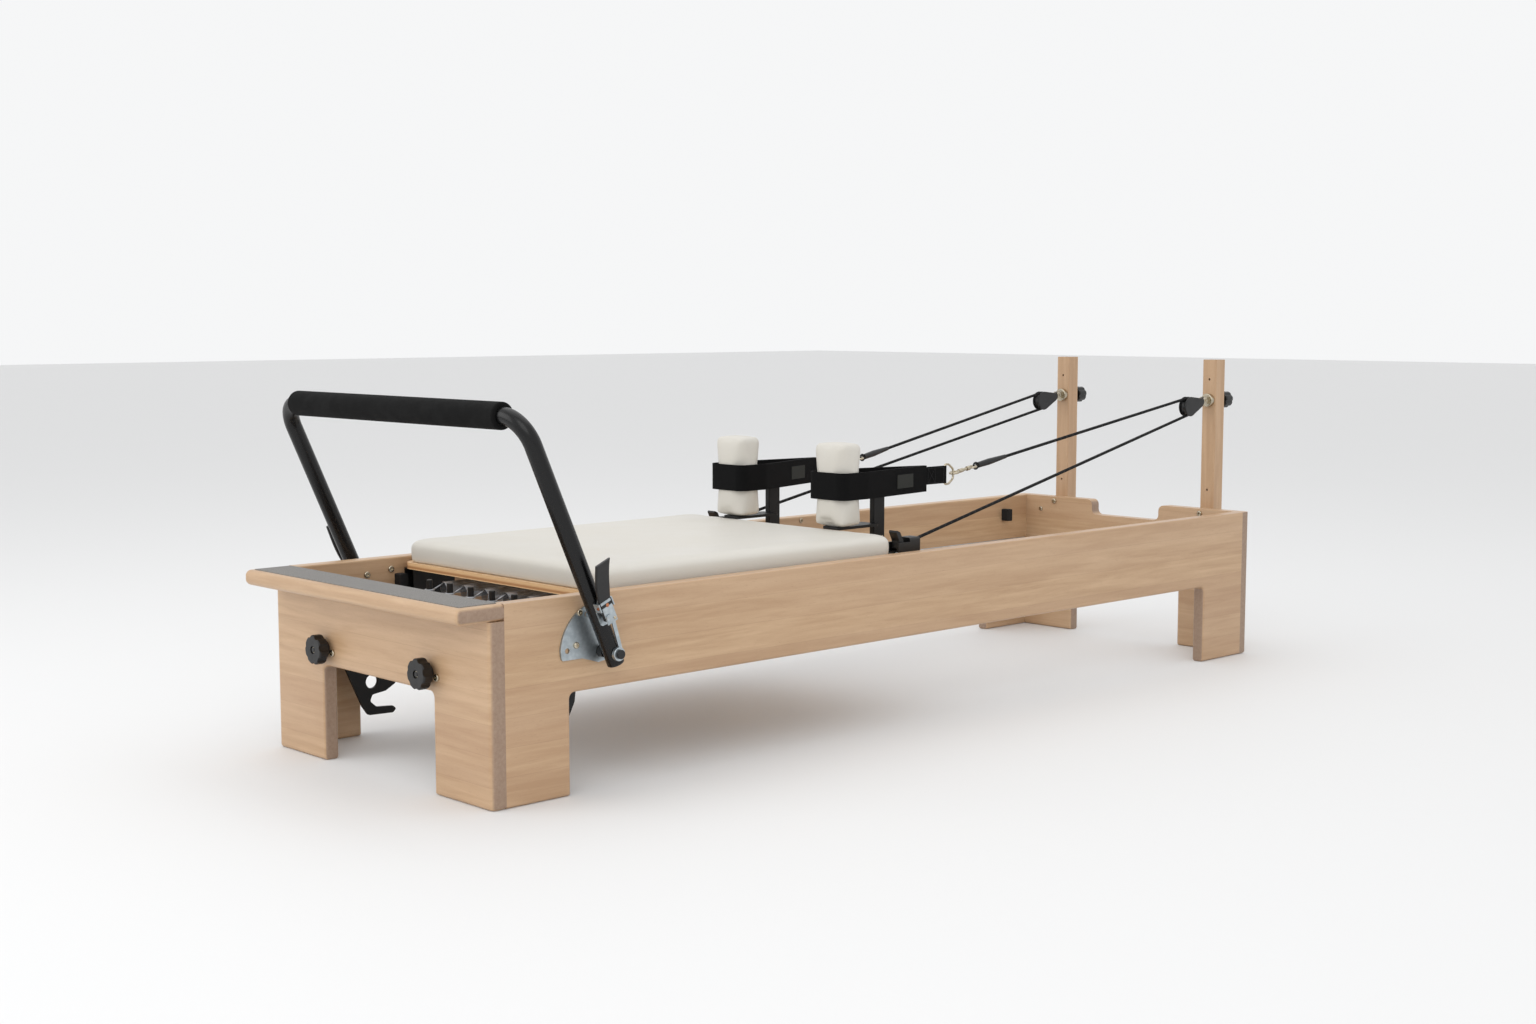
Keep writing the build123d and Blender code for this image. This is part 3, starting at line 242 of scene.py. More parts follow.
def beech(name, grain, band, width, seed):
    """Glued beech: strips side by side across the band axis, grain and flecks along the grain axis."""
    f = Finish(name)
    across = f.math("DIVIDE", f.math("ADD", f.axis[band], 3.0 + seed * 0.013), width)
    step = f.math("FLOOR", across)
    tone = f.chance(f.math("ADD", step, seed * 17.0))
    fast, slow, fine = {a: 26.0 for a in "XYZ"}, {a: 7.0 for a in "XYZ"}, {a: 900.0 for a in "XYZ"}
    fast[grain], slow[grain], fine[grain] = 1.6, 0.7, 90.0
    streak = f.noise(2.6, 7.0, 0.62, f.stretch(fast["X"], fast["Y"], fast["Z"]), 0.4)
    cloud = f.noise(1.5, 3.0, 0.5, f.stretch(slow["X"], slow["Y"], slow["Z"]))
    fleck = f.noise(1.0, 2.0, 0.5, f.stretch(fine["X"], fine["Y"], fine["Z"]))
    base = f.mix(f.spread(streak, 0.36, 0.66), BEECH_DARK, BEECH_LIGHT)
    base = f.mix(f.spread(tone, 0.0, 1.0, 0.0, 0.42), base, srgb(166, 130, 100))
    base = f.mix(f.spread(cloud, 0.45, 0.75, 0.0, 0.3), base, srgb(208, 180, 150))
    base = f.mix(f.spread(fleck, 0.62, 0.74, 0.0, 0.3), base, srgb(150, 114, 88))
    seam = f.math("ABSOLUTE", f.math("SUBTRACT", f.math("FRACT", across), 0.5))
    line = f.spread(seam, 0.488, 0.5, 0.0, 0.28)
    base = f.mix(line, base, srgb(128, 92, 68))
    end = f.spread(f.math("ABSOLUTE", f.facing[grain]), 0.6, 0.9)
    ring = f.noise(160.0, 5.0, 0.7)
    end_colour = f.mix(f.spread(ring, 0.3, 0.7), BEECH_END, srgb(158, 134, 114))
    f.set(
        Base_Color=f.mix(end, base, end_colour),
        Roughness=f.spread(streak, 0.3, 0.7, 0.36, 0.48),
        Coat_Weight=0.18,
        Coat_Roughness=0.3,
    )
    f.relief(streak, 0.12, 0.0006)
    f.relief(fleck, 0.10, 0.0002)
    return f.material


def plywood():
    f = Finish("lacquered plywood")
    layer = f.chance(f.math("FLOOR", f.math("DIVIDE", f.axis["Z"], 0.0022)))
    side = f.spread(f.math("ABSOLUTE", f.facing["Z"]), 0.4, 0.8)
    face = f.noise(3.0, 6.0, 0.6, f.stretch(1.4, 22.0, 22.0), 0.8)
    top = f.mix(f.spread(face, 0.35, 0.65), srgb(214, 174, 130), srgb(232, 200, 160))
    edge = f.mix(f.spread(layer, 0.35, 0.65), srgb(178, 128, 84), srgb(226, 186, 138))
    f.set(Base_Color=f.mix(side, edge, top), Roughness=0.42, Coat_Weight=0.1)
    f.relief(face, 0.1, 0.0004)
    return f.material


def grip_tape():
    f = Finish("grip tape")
    grit = f.cells(900.0)
    speck = f.noise(700.0, 2.0, 0.6)
    f.set(
        Base_Color=f.mix(f.spread(speck, 0.35, 0.7), srgb(112, 110, 108), srgb(150, 147, 143)),
        Roughness=0.9,
    )
    f.relief(grit, 0.7, 0.0006)
    return f.material


def upholstery(colour):
    f = Finish("grained vinyl cover")
    hide = f.cells(620.0, feature="SMOOTH_F1")
    soft = f.noise(9.0, 3.0, 0.5)
    use = f.noise(2.2, 4.0, 0.6)
    cream = (*colour, 1.0)
    base = f.mix(f.spread(soft, 0.3, 0.7, 0.0, 0.25), cream, srgb(206, 201, 188))
    base = f.mix(f.spread(use, 0.55, 0.8, 0.0, 0.18), base, srgb(190, 182, 166))
    f.set(
        Base_Color=base,
        Roughness=f.spread(soft, 0.3, 0.7, 0.42, 0.54),
        Specular_IOR_Level=0.4,
        Sheen_Weight=0.06,
    )
    f.relief(hide, 0.28, 0.0005)
    f.relief(soft, 0.25, 0.004)
    return f.material


def webbing():
    f = Finish("woven webbing")
    rib = f.math("SINE", f.math("MULTIPLY", f.axis["Z"], 2 * pi / 0.0026))
    pick = f.math("SINE", f.math("MULTIPLY", f.math("ADD", f.axis["X"], f.axis["Y"]), 2 * pi / 0.0022))
    weave = f.math("MULTIPLY", rib, pick)
    dust = f.noise(45.0, 5.0, 0.65)
    base = f.mix(f.spread(weave, -1.0, 1.0), srgb(4, 4, 5), srgb(17, 17, 18))
    f.set(
        Base_Color=f.mix(f.spread(dust, 0.6, 0.85, 0.0, 0.2), base, srgb(34, 33, 32)),
        Roughness=0.9,
        Specular_IOR_Level=0.15,
    )
    f.relief(weave, 0.5, 0.0006)
    return f.material


def braid():
    f = Finish("braided rope")
    pitch = 2 * pi / 0.0042
    along = f.math("ADD", f.axis["X"], f.math("MULTIPLY", f.axis["Z"], 1.6))
    against = f.math("SUBTRACT", f.axis["X"], f.math("MULTIPLY", f.axis["Z"], 1.9))
    lay = f.math("SINE", f.math("MULTIPLY", along, pitch))
    cross = f.math("SINE", f.math("MULTIPLY", against, pitch))
    plait = f.math("MULTIPLY", lay, cross)
    tracer = f.spread(f.math("SINE", f.math("MULTIPLY", f.axis["X"], 2 * pi / 0.021)), 0.86, 0.95)
    base = f.mix(f.spread(plait, -1.0, 1.0), srgb(6, 6, 7), srgb(30, 30, 31))
    f.set(
        Base_Color=f.mix(f.math("MULTIPLY", tracer, 0.2), base, srgb(90, 90, 88)),
        Roughness=0.8,
        Specular_IOR_Level=0.25,
    )
    f.relief(plait, 0.6, 0.0008)
    return f.material


def powder_coat(name, colour, rough):
    f = Finish(name)
    peel = f.noise(420.0, 2.0, 0.5)
    wear = f.noise(14.0, 6.0, 0.65)
    f.set(
        Base_Color=f.mix(f.spread(wear, 0.62, 0.9, 0.0, 0.12), colour, srgb(96, 96, 98)),
        Roughness=f.spread(peel, 0.3, 0.7, rough - 0.05, rough + 0.07),
        Specular_IOR_Level=0.35,
    )
    f.relief(peel, 0.12, 0.0004)
    return f.material


def foam():
    f = Finish("closed-cell foam")
    cell = f.cells(1500.0)
    patch = f.noise(30.0, 5.0, 0.6)
    f.set(
        Base_Color=f.mix(f.spread(patch, 0.4, 0.75), srgb(8, 8, 8), srgb(21, 21, 21)),
        Roughness=0.9,
        Specular_IOR_Level=0.2,
    )
    f.relief(cell, 0.45, 0.0005)
    f.relief(patch, 0.2, 0.001)
    return f.material


def moulded(name, colour, rough, fine=1300.0):
    f = Finish(name)
    grain = f.noise(fine, 2.0, 0.6)
    scuff = f.noise(55.0, 6.0, 0.7)
    f.set(
        Base_Color=f.mix(f.spread(scuff, 0.6, 0.85, 0.0, 0.12), colour, srgb(70, 70, 72)),
        Roughness=f.spread(scuff, 0.3, 0.7, rough - 0.05, rough + 0.12),
    )
    f.relief(grain, 0.22, 0.0003)
    return f.material


def metal(name, colour, dark, rough, spangle=0.0, brush=None):
    """Bare or plated metal with a spangle of cells or a brushed direction."""
    f = Finish(name)
    cloud = f.noise(60.0, 6.0, 0.65)
    amount = f.spread(cloud, 0.35, 0.7, 0.0, 0.55)
    base = f.mix(amount, colour, dark)
    if spangle:
        base = f.mix(f.spread(f.cells(spangle), 0.1, 0.7, 0.0, 0.35), base, dark)
    f.set(Base_Color=base, Metallic=1.0, Roughness=f.spread(cloud, 0.3, 0.7, rough, rough + 0.14))
    if brush:
        scale = {"X": 900.0, "Y": 900.0, "Z": 900.0}
        scale[brush] = 6.0
        f.relief(f.noise(1.0, 3.0, 0.5, f.stretch(scale["X"], scale["Y"], scale["Z"])), 0.12, 0.0002)
    return f.material


def make_finishes(colour):
    """Every finish by its slot name, and the boards one by one because their grain runs differently."""
    tube = powder_coat("satin black tube", srgb(8, 8, 9), 0.26)
    plate = powder_coat("black steel plate", srgb(10, 10, 11), 0.42)
    boards = {
        "side_rail_near": ("X", "Z", 0.052, 1), "side_rail_far": ("X", "Z", 0.049, 2),
        "foot_panel": ("Y", "Z", 0.055, 3), "head_panel": ("Y", "Z", 0.05, 4),
        "standing_platform": ("Y", "X", 0.048, 5), "riser_near": ("Z", "Y", 0.06, 6),
        "riser_far": ("Z", "Y", 0.06, 7),
    }
    by_node = {node: beech("beech " + node.replace("_", " "), *how) for node, how in boards.items()}
    by_slot = {
        "plywood": plywood(), "grip_tape": grip_tape(), "upholstery": upholstery(colour),
        "webbing": webbing(), "rope_black": braid(), "black_tube": tube, "black_plate": plate,
        "foam": foam(), "black_plastic": moulded("black moulding", srgb(10, 10, 11), 0.38),
        "rubber": moulded("black rubber", srgb(12, 12, 12), 0.75),
        "wheel": moulded("wheel urethane", srgb(52, 53, 56), 0.5),
        "sheave_plastic": moulded("sheave nylon", srgb(18, 18, 19), 0.35),
        "galvanised": metal("zinc plate", srgb(196, 204, 208), srgb(150, 160, 166), 0.34, spangle=140.0),
        "spring_steel": metal("bright spring wire", srgb(176, 178, 182), srgb(110, 112, 116), 0.28),
        "bright_steel": metal("nickel plate", srgb(196, 186, 166), srgb(140, 130, 112), 0.18),
        "aluminium": metal("drawn aluminium", srgb(208, 210, 212), srgb(176, 178, 180), 0.32, brush="X"),
        "grey_paint": powder_coat("light grey paint", srgb(186, 187, 186), 0.42),
        "copper": metal("coppered rivet", srgb(196, 128, 92), srgb(140, 84, 60), 0.3),
    }
    return by_node, by_slot


# ---- modelling helpers ----
def deselect():
    bpy.ops.object.select_all(action="DESELECT")


def pick(obj):
    """Only this object selected and active."""
    deselect()
    obj.hide_set(False)
    obj.select_set(True)
    bpy.context.view_layer.objects.active = obj


def settle(obj):
    """Puts the object's place into its mesh."""
    pick(obj)
    bpy.ops.object.transform_apply(location=True, rotation=True, scale=True)
    return obj


def outward(obj):
    pick(obj)
    bpy.ops.object.mode_set(mode="EDIT")
    bpy.ops.mesh.select_all(action="SELECT")
    bpy.ops.mesh.remove_doubles(threshold=0.00001)
    bpy.ops.mesh.normals_make_consistent(inside=False)
    bpy.ops.object.mode_set(mode="OBJECT")
    return obj


def join(objects, name):
    deselect()
    for obj in objects:
        obj.select_set(True)
    bpy.context.view_layer.objects.active = objects[0]
    if len(objects) > 1:
        bpy.ops.object.join()
    made = bpy.context.view_layer.objects.active
    made.name = name
    return made


def paint(obj, material):
    obj.data.materials.clear()
    obj.data.materials.append(material)
    return obj


def smooth(obj, angle=40):
    pick(obj)
    bpy.ops.object.shade_smooth_by_angle(angle=radians(angle))
    return obj


def bent(points, radius):
    """Points along straight runs with an arc of that radius at each inner corner."""
    line = [points[0]]
    for before, corner, after in zip(points, points[1:], points[2:]):
        u, v = (before - corner).normalized(), (after - corner).normalized()
        half = u.angle(v) / 2
        back = radius / np.tan(half)
        centre = corner + (u + v).normalized() * (radius / sin(half))
        a, b = corner + u * back - centre, corner + v * back - centre
        turn = a.angle(b)
        for k in range(13):
            t = k / 12
            line.append(centre + (a * sin((1 - t) * turn) + b * sin(t * turn)) / sin(turn))
    return line + [points[-1]]


def spaced(line, step):
    """The same line with points no farther apart than step."""
    out = [line[0]]
    for a, b in zip(line, line[1:]):
        count = max(1, int((b - a).length / step))
        out += [a.lerp(b, (k + 1) / count) for k in range(count)]
    return out


def tube(name, points, radius, sides=3, resolution=1):
    """Round tube along a NURBS line, made a mesh."""
    data = bpy.data.curves.new(name, "CURVE")
    data.dimensions = "3D"
    data.bevel_depth = radius
    data.bevel_resolution = sides
    data.use_fill_caps = True
    spline = data.splines.new("NURBS")
    spline.points.add(len(points) - 1)
    for place, point in zip(spline.points, points):
        place.co = (*point, 1.0)
    spline.order_u = 3
    spline.use_endpoint_u = True
    spline.resolution_u = resolution
    obj = bpy.data.objects.new(name, data)
    bpy.context.scene.collection.objects.link(obj)
    pick(obj)
    bpy.ops.object.convert(target="MESH")
    return outward(bpy.context.view_layer.objects.active)


# ---- operators ----
class REFORMER_OT_finishes(bpy.types.Operator):
    """Gives every hard piece its own finish"""
    bl_idname = "reformer.finishes"
    bl_label = "Finishes"

    def execute(self, context):
        by_node, by_slot = make_finishes(context.scene.reformer_soft.cover)
        slots = {entry["node"]: entry["material_slot"] for entry in frame["record"]["subparts"]}
        for name, obj in NODES.items():
            paint(obj, by_node.get(name) or by_slot[slots[name]])
        paint(NODES["latch_rivets"], by_slot["copper"])
        return {"FINISHED"}


def finish_of(slot):
    """The material already on a CAD node of that slot."""
    for entry in frame["record"]["subparts"]:
        if entry["material_slot"] == slot:
            return NODES[entry["node"]].data.materials[0]
    raise RuntimeError("no piece has the slot " + slot)


def points_of(obj):
    """The mesh's points as rows of an array."""
    flat = np.empty(len(obj.data.vertices) * 3)
    obj.data.vertices.foreach_get("co", flat)
    return flat.reshape(-1, 3)


def stuffed(node, name, voxel, pressure, cap, keep_bottom, keep_sides):
    """Copy of a plain pad that is filled like a cover over foam, held where it rests."""
    low, high = (np.array(corner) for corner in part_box(node))
    obj = NODES[node].copy()
    obj.data = NODES[node].data.copy()
    obj.name = name
    bpy.context.scene.collection.objects.link(obj)
    outward(obj)
    middle = (low + high) / 2
    size = high - low
    co = points_of(obj)
    shrink = np.array([cap * keep_sides, cap * keep_sides, cap])
    co = middle + (co - middle) * (1 - 2 * shrink / size)
    obj.data.vertices.foreach_set("co", co.ravel())
    pick(obj)
    remesh = obj.modifiers.new("Grid", "REMESH")
    remesh.mode = "VOXEL"
    remesh.voxel_size = voxel
    bpy.ops.object.modifier_apply(modifier=remesh.name)
    before = points_of(obj)
    cloth = obj.modifiers.new("Filling", "CLOTH")
    cloth.settings.use_pressure = True
    cloth.settings.uniform_pressure_force = pressure
    cloth.settings.effector_weights.gravity = 0
    cloth.settings.quality = 5
    cloth.point_cache.frame_start = 1
    cloth.point_cache.frame_end = 20
    for number in range(1, 21):
        bpy.context.scene.frame_set(number)
    pick(obj)
    bpy.ops.object.modifier_apply(modifier=cloth.name)
    bpy.context.scene.frame_set(1)
    co = points_of(obj)
    move = co - before
    far = np.linalg.norm(move, axis=1, keepdims=True)
    co = before + move * np.minimum(1, cap * 1.6 / np.maximum(far, 1e-9))
    co[:, 2] = np.maximum(co[:, 2], low[2] if keep_bottom else low[2] - 0.002)
    bottom = co[:, 2] < low[2] + cap * 1.5
    if keep_bottom:
        co[bottom, 2] = low[2]
    slack = 0.0012
    co[:, :2] = np.clip(co[:, :2], (low - slack)[:2], (high + slack)[:2])
    obj.data.vertices.foreach_set("co", co.ravel())
    ease = obj.modifiers.new("Ease", "SMOOTH")
    ease.factor = 0.5
    ease.iterations = 6
    pick(obj)
    bpy.ops.object.modifier_apply(modifier=ease.name)
    refine = obj.modifiers.new("Fine", "SUBSURF")
    refine.levels = refine.render_levels = 1
    pick(obj)
    bpy.ops.object.modifier_apply(modifier=refine.name)
    bpy.ops.object.shade_smooth()
    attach(obj, "carriage")
    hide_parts(node)
    return obj


class REFORMER_OT_cushion(bpy.types.Operator):
    """Fills the carriage's cushion"""
    bl_idname = "reformer.cushion"
    bl_label = "Cushion"

    def execute(self, context):
        soft = context.scene.reformer_soft
        stuffed(
            "carriage_cushion", "cushion", soft.cushion_voxel, soft.pressure, soft.cushion_crown,
            True, 0.4,
        )
        return {"FINISHED"}


class REFORMER_OT_shoulder_pads(bpy.types.Operator):
    """Fills the two shoulder pads"""
    bl_idname = "reformer.shoulder_pads"
    bl_label = "Shoulder pads"

    def execute(self, context):
        soft = context.scene.reformer_soft
        for word, _ in SIDES:
            stuffed(
                "shoulder_pad_" + word, "padded_rest_" + word, soft.pad_voxel, soft.pressure,
                soft.pad_crown, False, 1.0,
            )
        return {"FINISHED"}


class REFORMER_OT_small_metal(bpy.types.Operator):
    """Centre screws of the clamp knobs"""
    bl_idname = "reformer.small_metal"
    bl_label = "Knob screws"

    def execute(self, context):
        for word, side in SIDES:
            deselect()
            bpy.ops.mesh.primitive_cylinder_add(
                vertices=32, radius=0.0056, depth=0.004, rotation=(0, pi / 2, 0),
                location=station(-26.0, side * 175.0, 220.0),
            )
            screw = bpy.context.view_layer.objects.active
            screw.name = "knob_screw_" + word
            settle(screw)
            bpy.ops.object.mode_set(mode="EDIT")
            bpy.ops.mesh.select_mode(type="FACE")
            bpy.ops.mesh.select_all(action="DESELECT")
            bpy.ops.object.mode_set(mode="OBJECT")
            for face in screw.data.polygons:
                face.select = face.normal.x < -0.9
            bpy.ops.object.mode_set(mode="EDIT")
            bpy.ops.mesh.inset(thickness=0.0026, depth=0)
            bpy.ops.mesh.inset(thickness=0.0002, depth=-0.0018)
            bpy.ops.object.mode_set(mode="OBJECT")
            edge = screw.modifiers.new("Edge", "BEVEL")
            edge.width = 0.0006
            edge.segments = 2
            pick(screw)
            bpy.ops.object.modifier_apply(modifier=edge.name)
            paint(screw, finish_of("bright_steel"))
            smooth(screw)
            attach(screw, "clamp_knob_" + word)
        return {"FINISHED"}


ARM_LEAN = radians(24)


def on_arm(side, u, v, w):
    """Point beside the footbar's arm: u up it, v towards the head end, w out from the centre."""
    return station(
        238.0 - u * sin(ARM_LEAN) + v * cos(ARM_LEAN), side * w,
        255.0 + u * cos(ARM_LEAN) + v * sin(ARM_LEAN),
    )


class REFORMER_OT_latch_covers(bpy.types.Operator):
    """Cover plates and rivets on the latch levers"""
    bl_idname = "reformer.latch_covers"
    bl_label = "Latch covers"

    def execute(self, context):
        for word, side in SIDES:
            deselect()
            bpy.ops.mesh.primitive_cube_add(
                size=1, location=on_arm(side, 86, 5, 427.4), scale=(0.024, 0.0015, 0.044),
                rotation=(0, -ARM_LEAN, 0),
            )
            plate = bpy.context.view_layer.objects.active
            plate.name = "latch_cover_" + word
            settle(plate)
            edge = plate.modifiers.new("Edge", "BEVEL")
            edge.width = 0.0006
            edge.segments = 2
            pick(plate)
            bpy.ops.object.modifier_apply(modifier=edge.name)
            paint(plate, finish_of("galvanised"))
            smooth(plate)
            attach(plate, "latch_lever_" + word)
            for name, u, v, r, material in (
                ("copper", 99, 6, 0.0036, bpy.data.materials["coppered rivet"]),
                ("steel", 70, 12, 0.0032, finish_of("bright_steel")),
            ):
                deselect()
                bpy.ops.mesh.primitive_uv_sphere_add(
                    segments=24, ring_count=12, radius=r, location=on_arm(side, u, v, 428.4),
                    scale=(1, 0.6, 1),
                )
                rivet = bpy.context.view_layer.objects.active
                rivet.name = "latch_rivet_%s_%s" % (name, word)
                settle(rivet)
                bpy.ops.object.mode_set(mode="EDIT")
                bpy.ops.mesh.select_all(action="SELECT")
                bpy.ops.mesh.bisect(
                    plane_co=on_arm(side, u, v, 428.0), plane_no=(0, side, 0), clear_inner=True,
                    use_fill=True,
                )
                bpy.ops.object.mode_set(mode="OBJECT")
                paint(rivet, material)
                smooth(rivet)
                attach(rivet, "latch_lever_" + word)
        return {"FINISHED"}


# each label lies on its loop's face to the near side: y at the pad, and the face's slope along x
LABEL_FACE = {"near": (-213.5, 0.1546), "far": (103.0, 0.2916)}
LABEL_X = 1232.0
STITCH = 0.0034


def stitches(name, runs, radius=0.00045):
    """Short thread capsules along each run of points, as one mesh."""
    data = bpy.data.curves.new(name, "CURVE")
    data.dimensions = "3D"
    data.bevel_depth = radius
    data.bevel_resolution = 1
    data.use_fill_caps = True
    for a, b in runs:
        count = max(1, int((b - a).length / (STITCH * 1.45)))
        for k in range(count):
            spline = data.splines.new("POLY")
            spline.points.add(1)
            start = a.lerp(b, k / count)
            spline.points[0].co = (*start, 1)
            spline.points[1].co = (*(start + (b - a).normalized() * STITCH), 1)
    obj = bpy.data.objects.new(name, data)
    bpy.context.scene.collection.objects.link(obj)
    pick(obj)
    bpy.ops.object.convert(target="MESH")
    return outward(bpy.context.view_layer.objects.active)


class REFORMER_OT_strap_details(bpy.types.Operator):
    """Stitching and blank label patches on the webbing loops"""
    bl_idname = "reformer.strap_details"
    bl_label = "Strap details"

    def execute(self, context):
        thread = Finish("waxed thread")
        ply = thread.noise(900.0, 2.0, 0.5)
        thread.set(Base_Color=thread.mix(ply, srgb(26, 26, 27), srgb(46, 46, 47)), Roughness=0.7)
        cloth = Finish("label cloth")
        fibre = cloth.noise(600.0, 3.0, 0.6)
        cloth.set(Base_Color=cloth.mix(fibre, srgb(22, 23, 21), srgb(38, 40, 34)), Roughness=0.8)
        cloth.relief(fibre, 0.3, 0.0003)
        for word, side in SIDES:
            runs = []
            for face in (-1, 1):
                y = side * (173.5 + face * 4.2)
                for z in (480.0, 513.0):
                    runs.append((station(1320, y, z), station(1376, y, z)))
                for x in (1322.0, 1346.0, 1374.0):
                    runs.append((station(x, y, 481), station(x, y, 512)))
                runs.append((station(1323, y, 481), station(1345, y, 512)))
                runs.append((station(1323, y, 512), station(1345, y, 481)))
            sewn = stitches("strap_stitching_" + word, runs)
            paint(sewn, thread.material)
            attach(sewn, "carriage")
            face_y, slope = LABEL_FACE[word]
            place = station(LABEL_X, face_y + (LABEL_X - 1091.0) * slope, 491)
            deselect()
            bpy.ops.mesh.primitive_cube_add(
                size=1, location=place, scale=(0.062, 0.0012, 0.030), rotation=(0, 0, atan(slope)),
            )
            label = bpy.context.view_layer.objects.active
            label.name = "strap_label_" + word
            settle(label)
            edge = label.modifiers.new("Edge", "BEVEL")
            edge.width = 0.0005
            edge.segments = 2
            pick(label)
            bpy.ops.object.modifier_apply(modifier=edge.name)
            paint(label, cloth.material)
            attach(label, "carriage")
        return {"FINISHED"}


SPRING_LINES = (-140.0, -70.0, 0.0, 70.0, 140.0)
PEG_X = 213.0
ANCHOR_X = 760.0


class REFORMER_OT_springs(bpy.types.Operator):
    """Winds the five carriage springs"""
    bl_idname = "reformer.springs"
    bl_label = "Springs"

    def execute(self, context):
        settings = context.scene.reformer_springs
        material = finish_of("spring_steel")
        first, last, z = 245.0, 746.0, 316.0
        start, end = station(first, 0, z), station(last, 0, z)
        made = []
        for number, y in enumerate(SPRING_LINES):
            deselect()
            bpy.ops.mesh.primitive_circle_add(
                vertices=6, radius=settings.wire, rotation=(0, 0, 0),
                location=(start.x, y / 1000, start.z + settings.radius),
            )
            coil = bpy.context.view_layer.objects.active
            coil.rotation_euler = (0, 0, 0)
            bpy.ops.object.transform_apply(location=False, rotation=True, scale=True)
            # the wire's section lies flat in the XY plane, raised to the coil radius; the winding turns
            # about X
            coil.data.transform(Matrix.Translation((0, 0, settings.radius)))
            coil.location = (start.x, y / 1000, start.z)
            screw = coil.modifiers.new("Winding", "SCREW")
            screw.axis = "X"
            screw.angle = 2 * pi
            screw.iterations = settings.turns
            screw.screw_offset = (end.x - start.x) / settings.turns
            screw.steps = screw.render_steps = 14
            pick(coil)
            bpy.ops.object.modifier_apply(modifier=screw.name)
            settle(coil)
            parts = [outward(coil)]
            ring = []
            peg = station(PEG_X, y, z)
            for k in range(25):
                angle = -pi * 0.92 + 2 * pi * 0.92 * k / 24
                ring.append(peg + Vector((-0.009 * cos(angle), 0.009 * sin(angle), 0)))
            lead = [
                station(first + 2, y, z + 10), station(first - 9, y, z + 5),
                station(first - 20, y + 3, z),
            ]
            parts.append(tube("hook", lead + ring, settings.wire, 2))
            tail = [
                station(last - 2, y, z + 10), station(last + 6, y, z + 4),
                station(ANCHOR_X + 4, y, z), station(ANCHOR_X + 9, y, z - 1),
                station(ANCHOR_X + 8, y, z - 5),
            ]
            parts.append(tube("eye", tail, settings.wire, 2))
            spring = join(parts, "spring_%d" % (number + 1))
            paint(spring, material)
            pick(spring)
            bpy.ops.object.shade_smooth()
            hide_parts("springs")
            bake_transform(spring)
            made.append(spring)
        if len(made) != len(SPRING_LINES):
            raise RuntimeError("a spring is missing")
        return {"FINISHED"}


ROPE_R = 0.0035
ROPE_STEP = 0.008
WRAP = 20.9  # mm from the sheave's centre to the rope's
SHEAVE_REACH = 70  # mm from the pitch pin to the sheave's centre


def rope_points(side):
    """Near or far rope: splice, the two corners at the sheave, and the cleat."""
    slope = radians(11)
    pivot = Vector((2306.0, 0, 637.0))
    down = Vector((-cos(slope), 0, -sin(slope)))
    drop = Vector((sin(slope), 0, -cos(slope)))
    centre = pivot + down * SHEAVE_REACH
    over = pivot + down * (SHEAVE_REACH - WRAP) - drop * WRAP
    under = pivot + down * (SHEAVE_REACH - WRAP) + drop * WRAP
    hook = Vector((1405.0, 173.5, 497.0))
    aim = Vector((centre.x, 234.0, centre.z + WRAP))
    start = hook + (aim - hook).normalized() * (82 + 96 + 0.1)
    return [
        station(start.x, side * start.y, start.z), station(over.x, side * 235.0, over.z),
        station(under.x, side * 233.0, under.z), station(1126.0, side * 288.0, 370.0),
    ]


class REFORMER_OT_ropes(bpy.types.Operator):
    """Runs the two ropes over the sheaves"""
    bl_idname = "reformer.ropes"
    bl_label = "Ropes"

    def execute(self, context):
        material = finish_of("rope_black")
        for word, side in SIDES:
            line = bent(rope_points(side), WRAP / 1000 * 0.97)
            upper, lower = spaced(line[:-1], ROPE_STEP), spaced(line[-2:], ROPE_STEP)
            spans = ((upper, "upper", 2150.0, 1592.0), (lower, "lower", 2236.0, 1156.0))
            for points, part, fixed, moving in spans:
                rope = tube("rope_%s_%s" % (word, part), points, ROPE_R, 3)
                pick(rope)
                bpy.ops.object.shade_smooth()
                paint(rope, material)
                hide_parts("rope_" + word)
                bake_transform(rope)
        return {"FINISHED"}


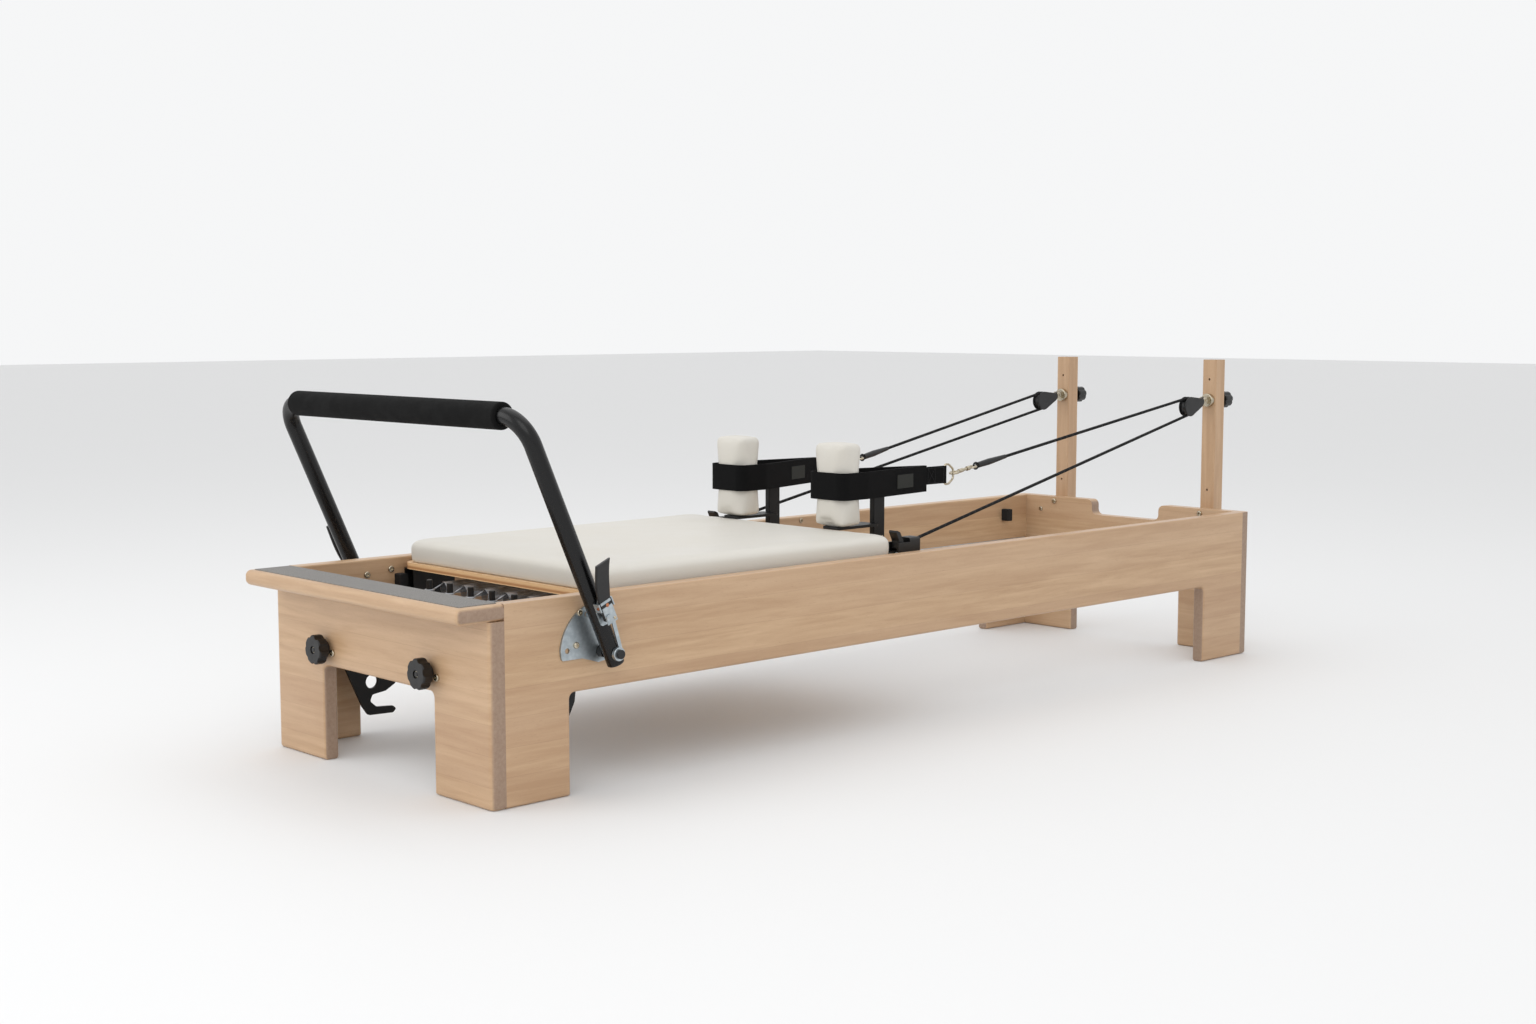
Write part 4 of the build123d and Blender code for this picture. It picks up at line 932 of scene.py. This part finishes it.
class REFORMER_OT_stage(bpy.types.Operator):
    """Floor, lights and camera"""
    bl_idname = "reformer.stage"
    bl_label = "Stage"

    def execute(self, context):
        studio = context.scene.reformer_studio
        deselect()
        bpy.ops.mesh.primitive_plane_add(size=60, location=(0, 0, -0.0005))
        floor = bpy.context.view_layer.objects.active
        floor.name = "floor"
        f = Finish("studio floor")
        patch = f.noise(1.2, 3.0, 0.5)
        tone = f.mix(
            f.spread(patch, 0.3, 0.7, 0.0, 0.06), (*studio.floor, 1.0), (0.72, 0.72, 0.72, 1.0),
        )
        f.set(
            Base_Color=tone,
            Roughness=0.7,
            Emission_Color=(1.0, 1.0, 1.0, 1.0),
            Emission_Strength=0.02,
        )
        paint(floor, f.material)
        world = bpy.data.worlds.new("studio")
        world.use_nodes = True
        back = world.node_tree.nodes["Background"]
        back.inputs["Color"].default_value = (0.94, 0.945, 0.95, 1.0)
        back.inputs["Strength"].default_value = 0.98
        context.scene.world = world
        for name, place, size, power in (
            ("key", (-3.6, -3.4, 3.6), 3.4, 56.0),
            ("top", (0.4, 0.4, 4.4), 4.5, 38.0),
            ("fill", (-4.2, 1.6, 2.2), 2.8, 38.0),
        ):
            data = bpy.data.lights.new(name, "AREA")
            data.size = size
            data.energy = power
            lamp = bpy.data.objects.new(name, data)
            lamp.location = place
            lamp.rotation_euler = (-Vector(place)).to_track_quat("-Z", "Y").to_euler()
            context.scene.collection.objects.link(lamp)
        data = bpy.data.cameras.new("camera")
        data.lens = studio.lens
        data.sensor_width = 36.0
        camera = bpy.data.objects.new("camera", data)
        camera.location = studio.place
        camera.rotation_euler = (radians(90 - studio.elevation), 0, radians(studio.azimuth))
        context.scene.collection.objects.link(camera)
        context.scene.camera = camera
        context.scene.view_settings.view_transform = "Standard"
        return {"FINISHED"}


STEPS = (
    REFORMER_OT_finishes, REFORMER_OT_cushion, REFORMER_OT_shoulder_pads, REFORMER_OT_springs,
    REFORMER_OT_ropes, REFORMER_OT_latch_covers, REFORMER_OT_small_metal,
    REFORMER_OT_strap_details, REFORMER_OT_stage,
)


class VIEW3D_PT_reformer(bpy.types.Panel):
    bl_label = "Reformer"
    bl_space_type = "VIEW_3D"
    bl_region_type = "UI"
    bl_category = "Reformer"

    def draw(self, context):
        for step in STEPS:
            self.layout.operator(step.bl_idname)


GROUPS = (ReformerSoftGoods, ReformerSprings, ReformerStudio)


def register():
    for cls in GROUPS + STEPS + (VIEW3D_PT_reformer,):
        bpy.utils.register_class(cls)
    bpy.types.Scene.reformer_soft = PointerProperty(type=ReformerSoftGoods)
    bpy.types.Scene.reformer_springs = PointerProperty(type=ReformerSprings)
    bpy.types.Scene.reformer_studio = PointerProperty(type=ReformerStudio)


def unregister():
    for name in ("reformer_soft", "reformer_springs", "reformer_studio"):
        delattr(bpy.types.Scene, name)
    for cls in reversed(GROUPS + STEPS + (VIEW3D_PT_reformer,)):
        bpy.utils.unregister_class(cls)


def main():
    register()
    for step in STEPS:
        group, word = step.bl_idname.split(".")
        getattr(getattr(bpy.ops, group), word)()


if __name__ == "__main__":
    main()
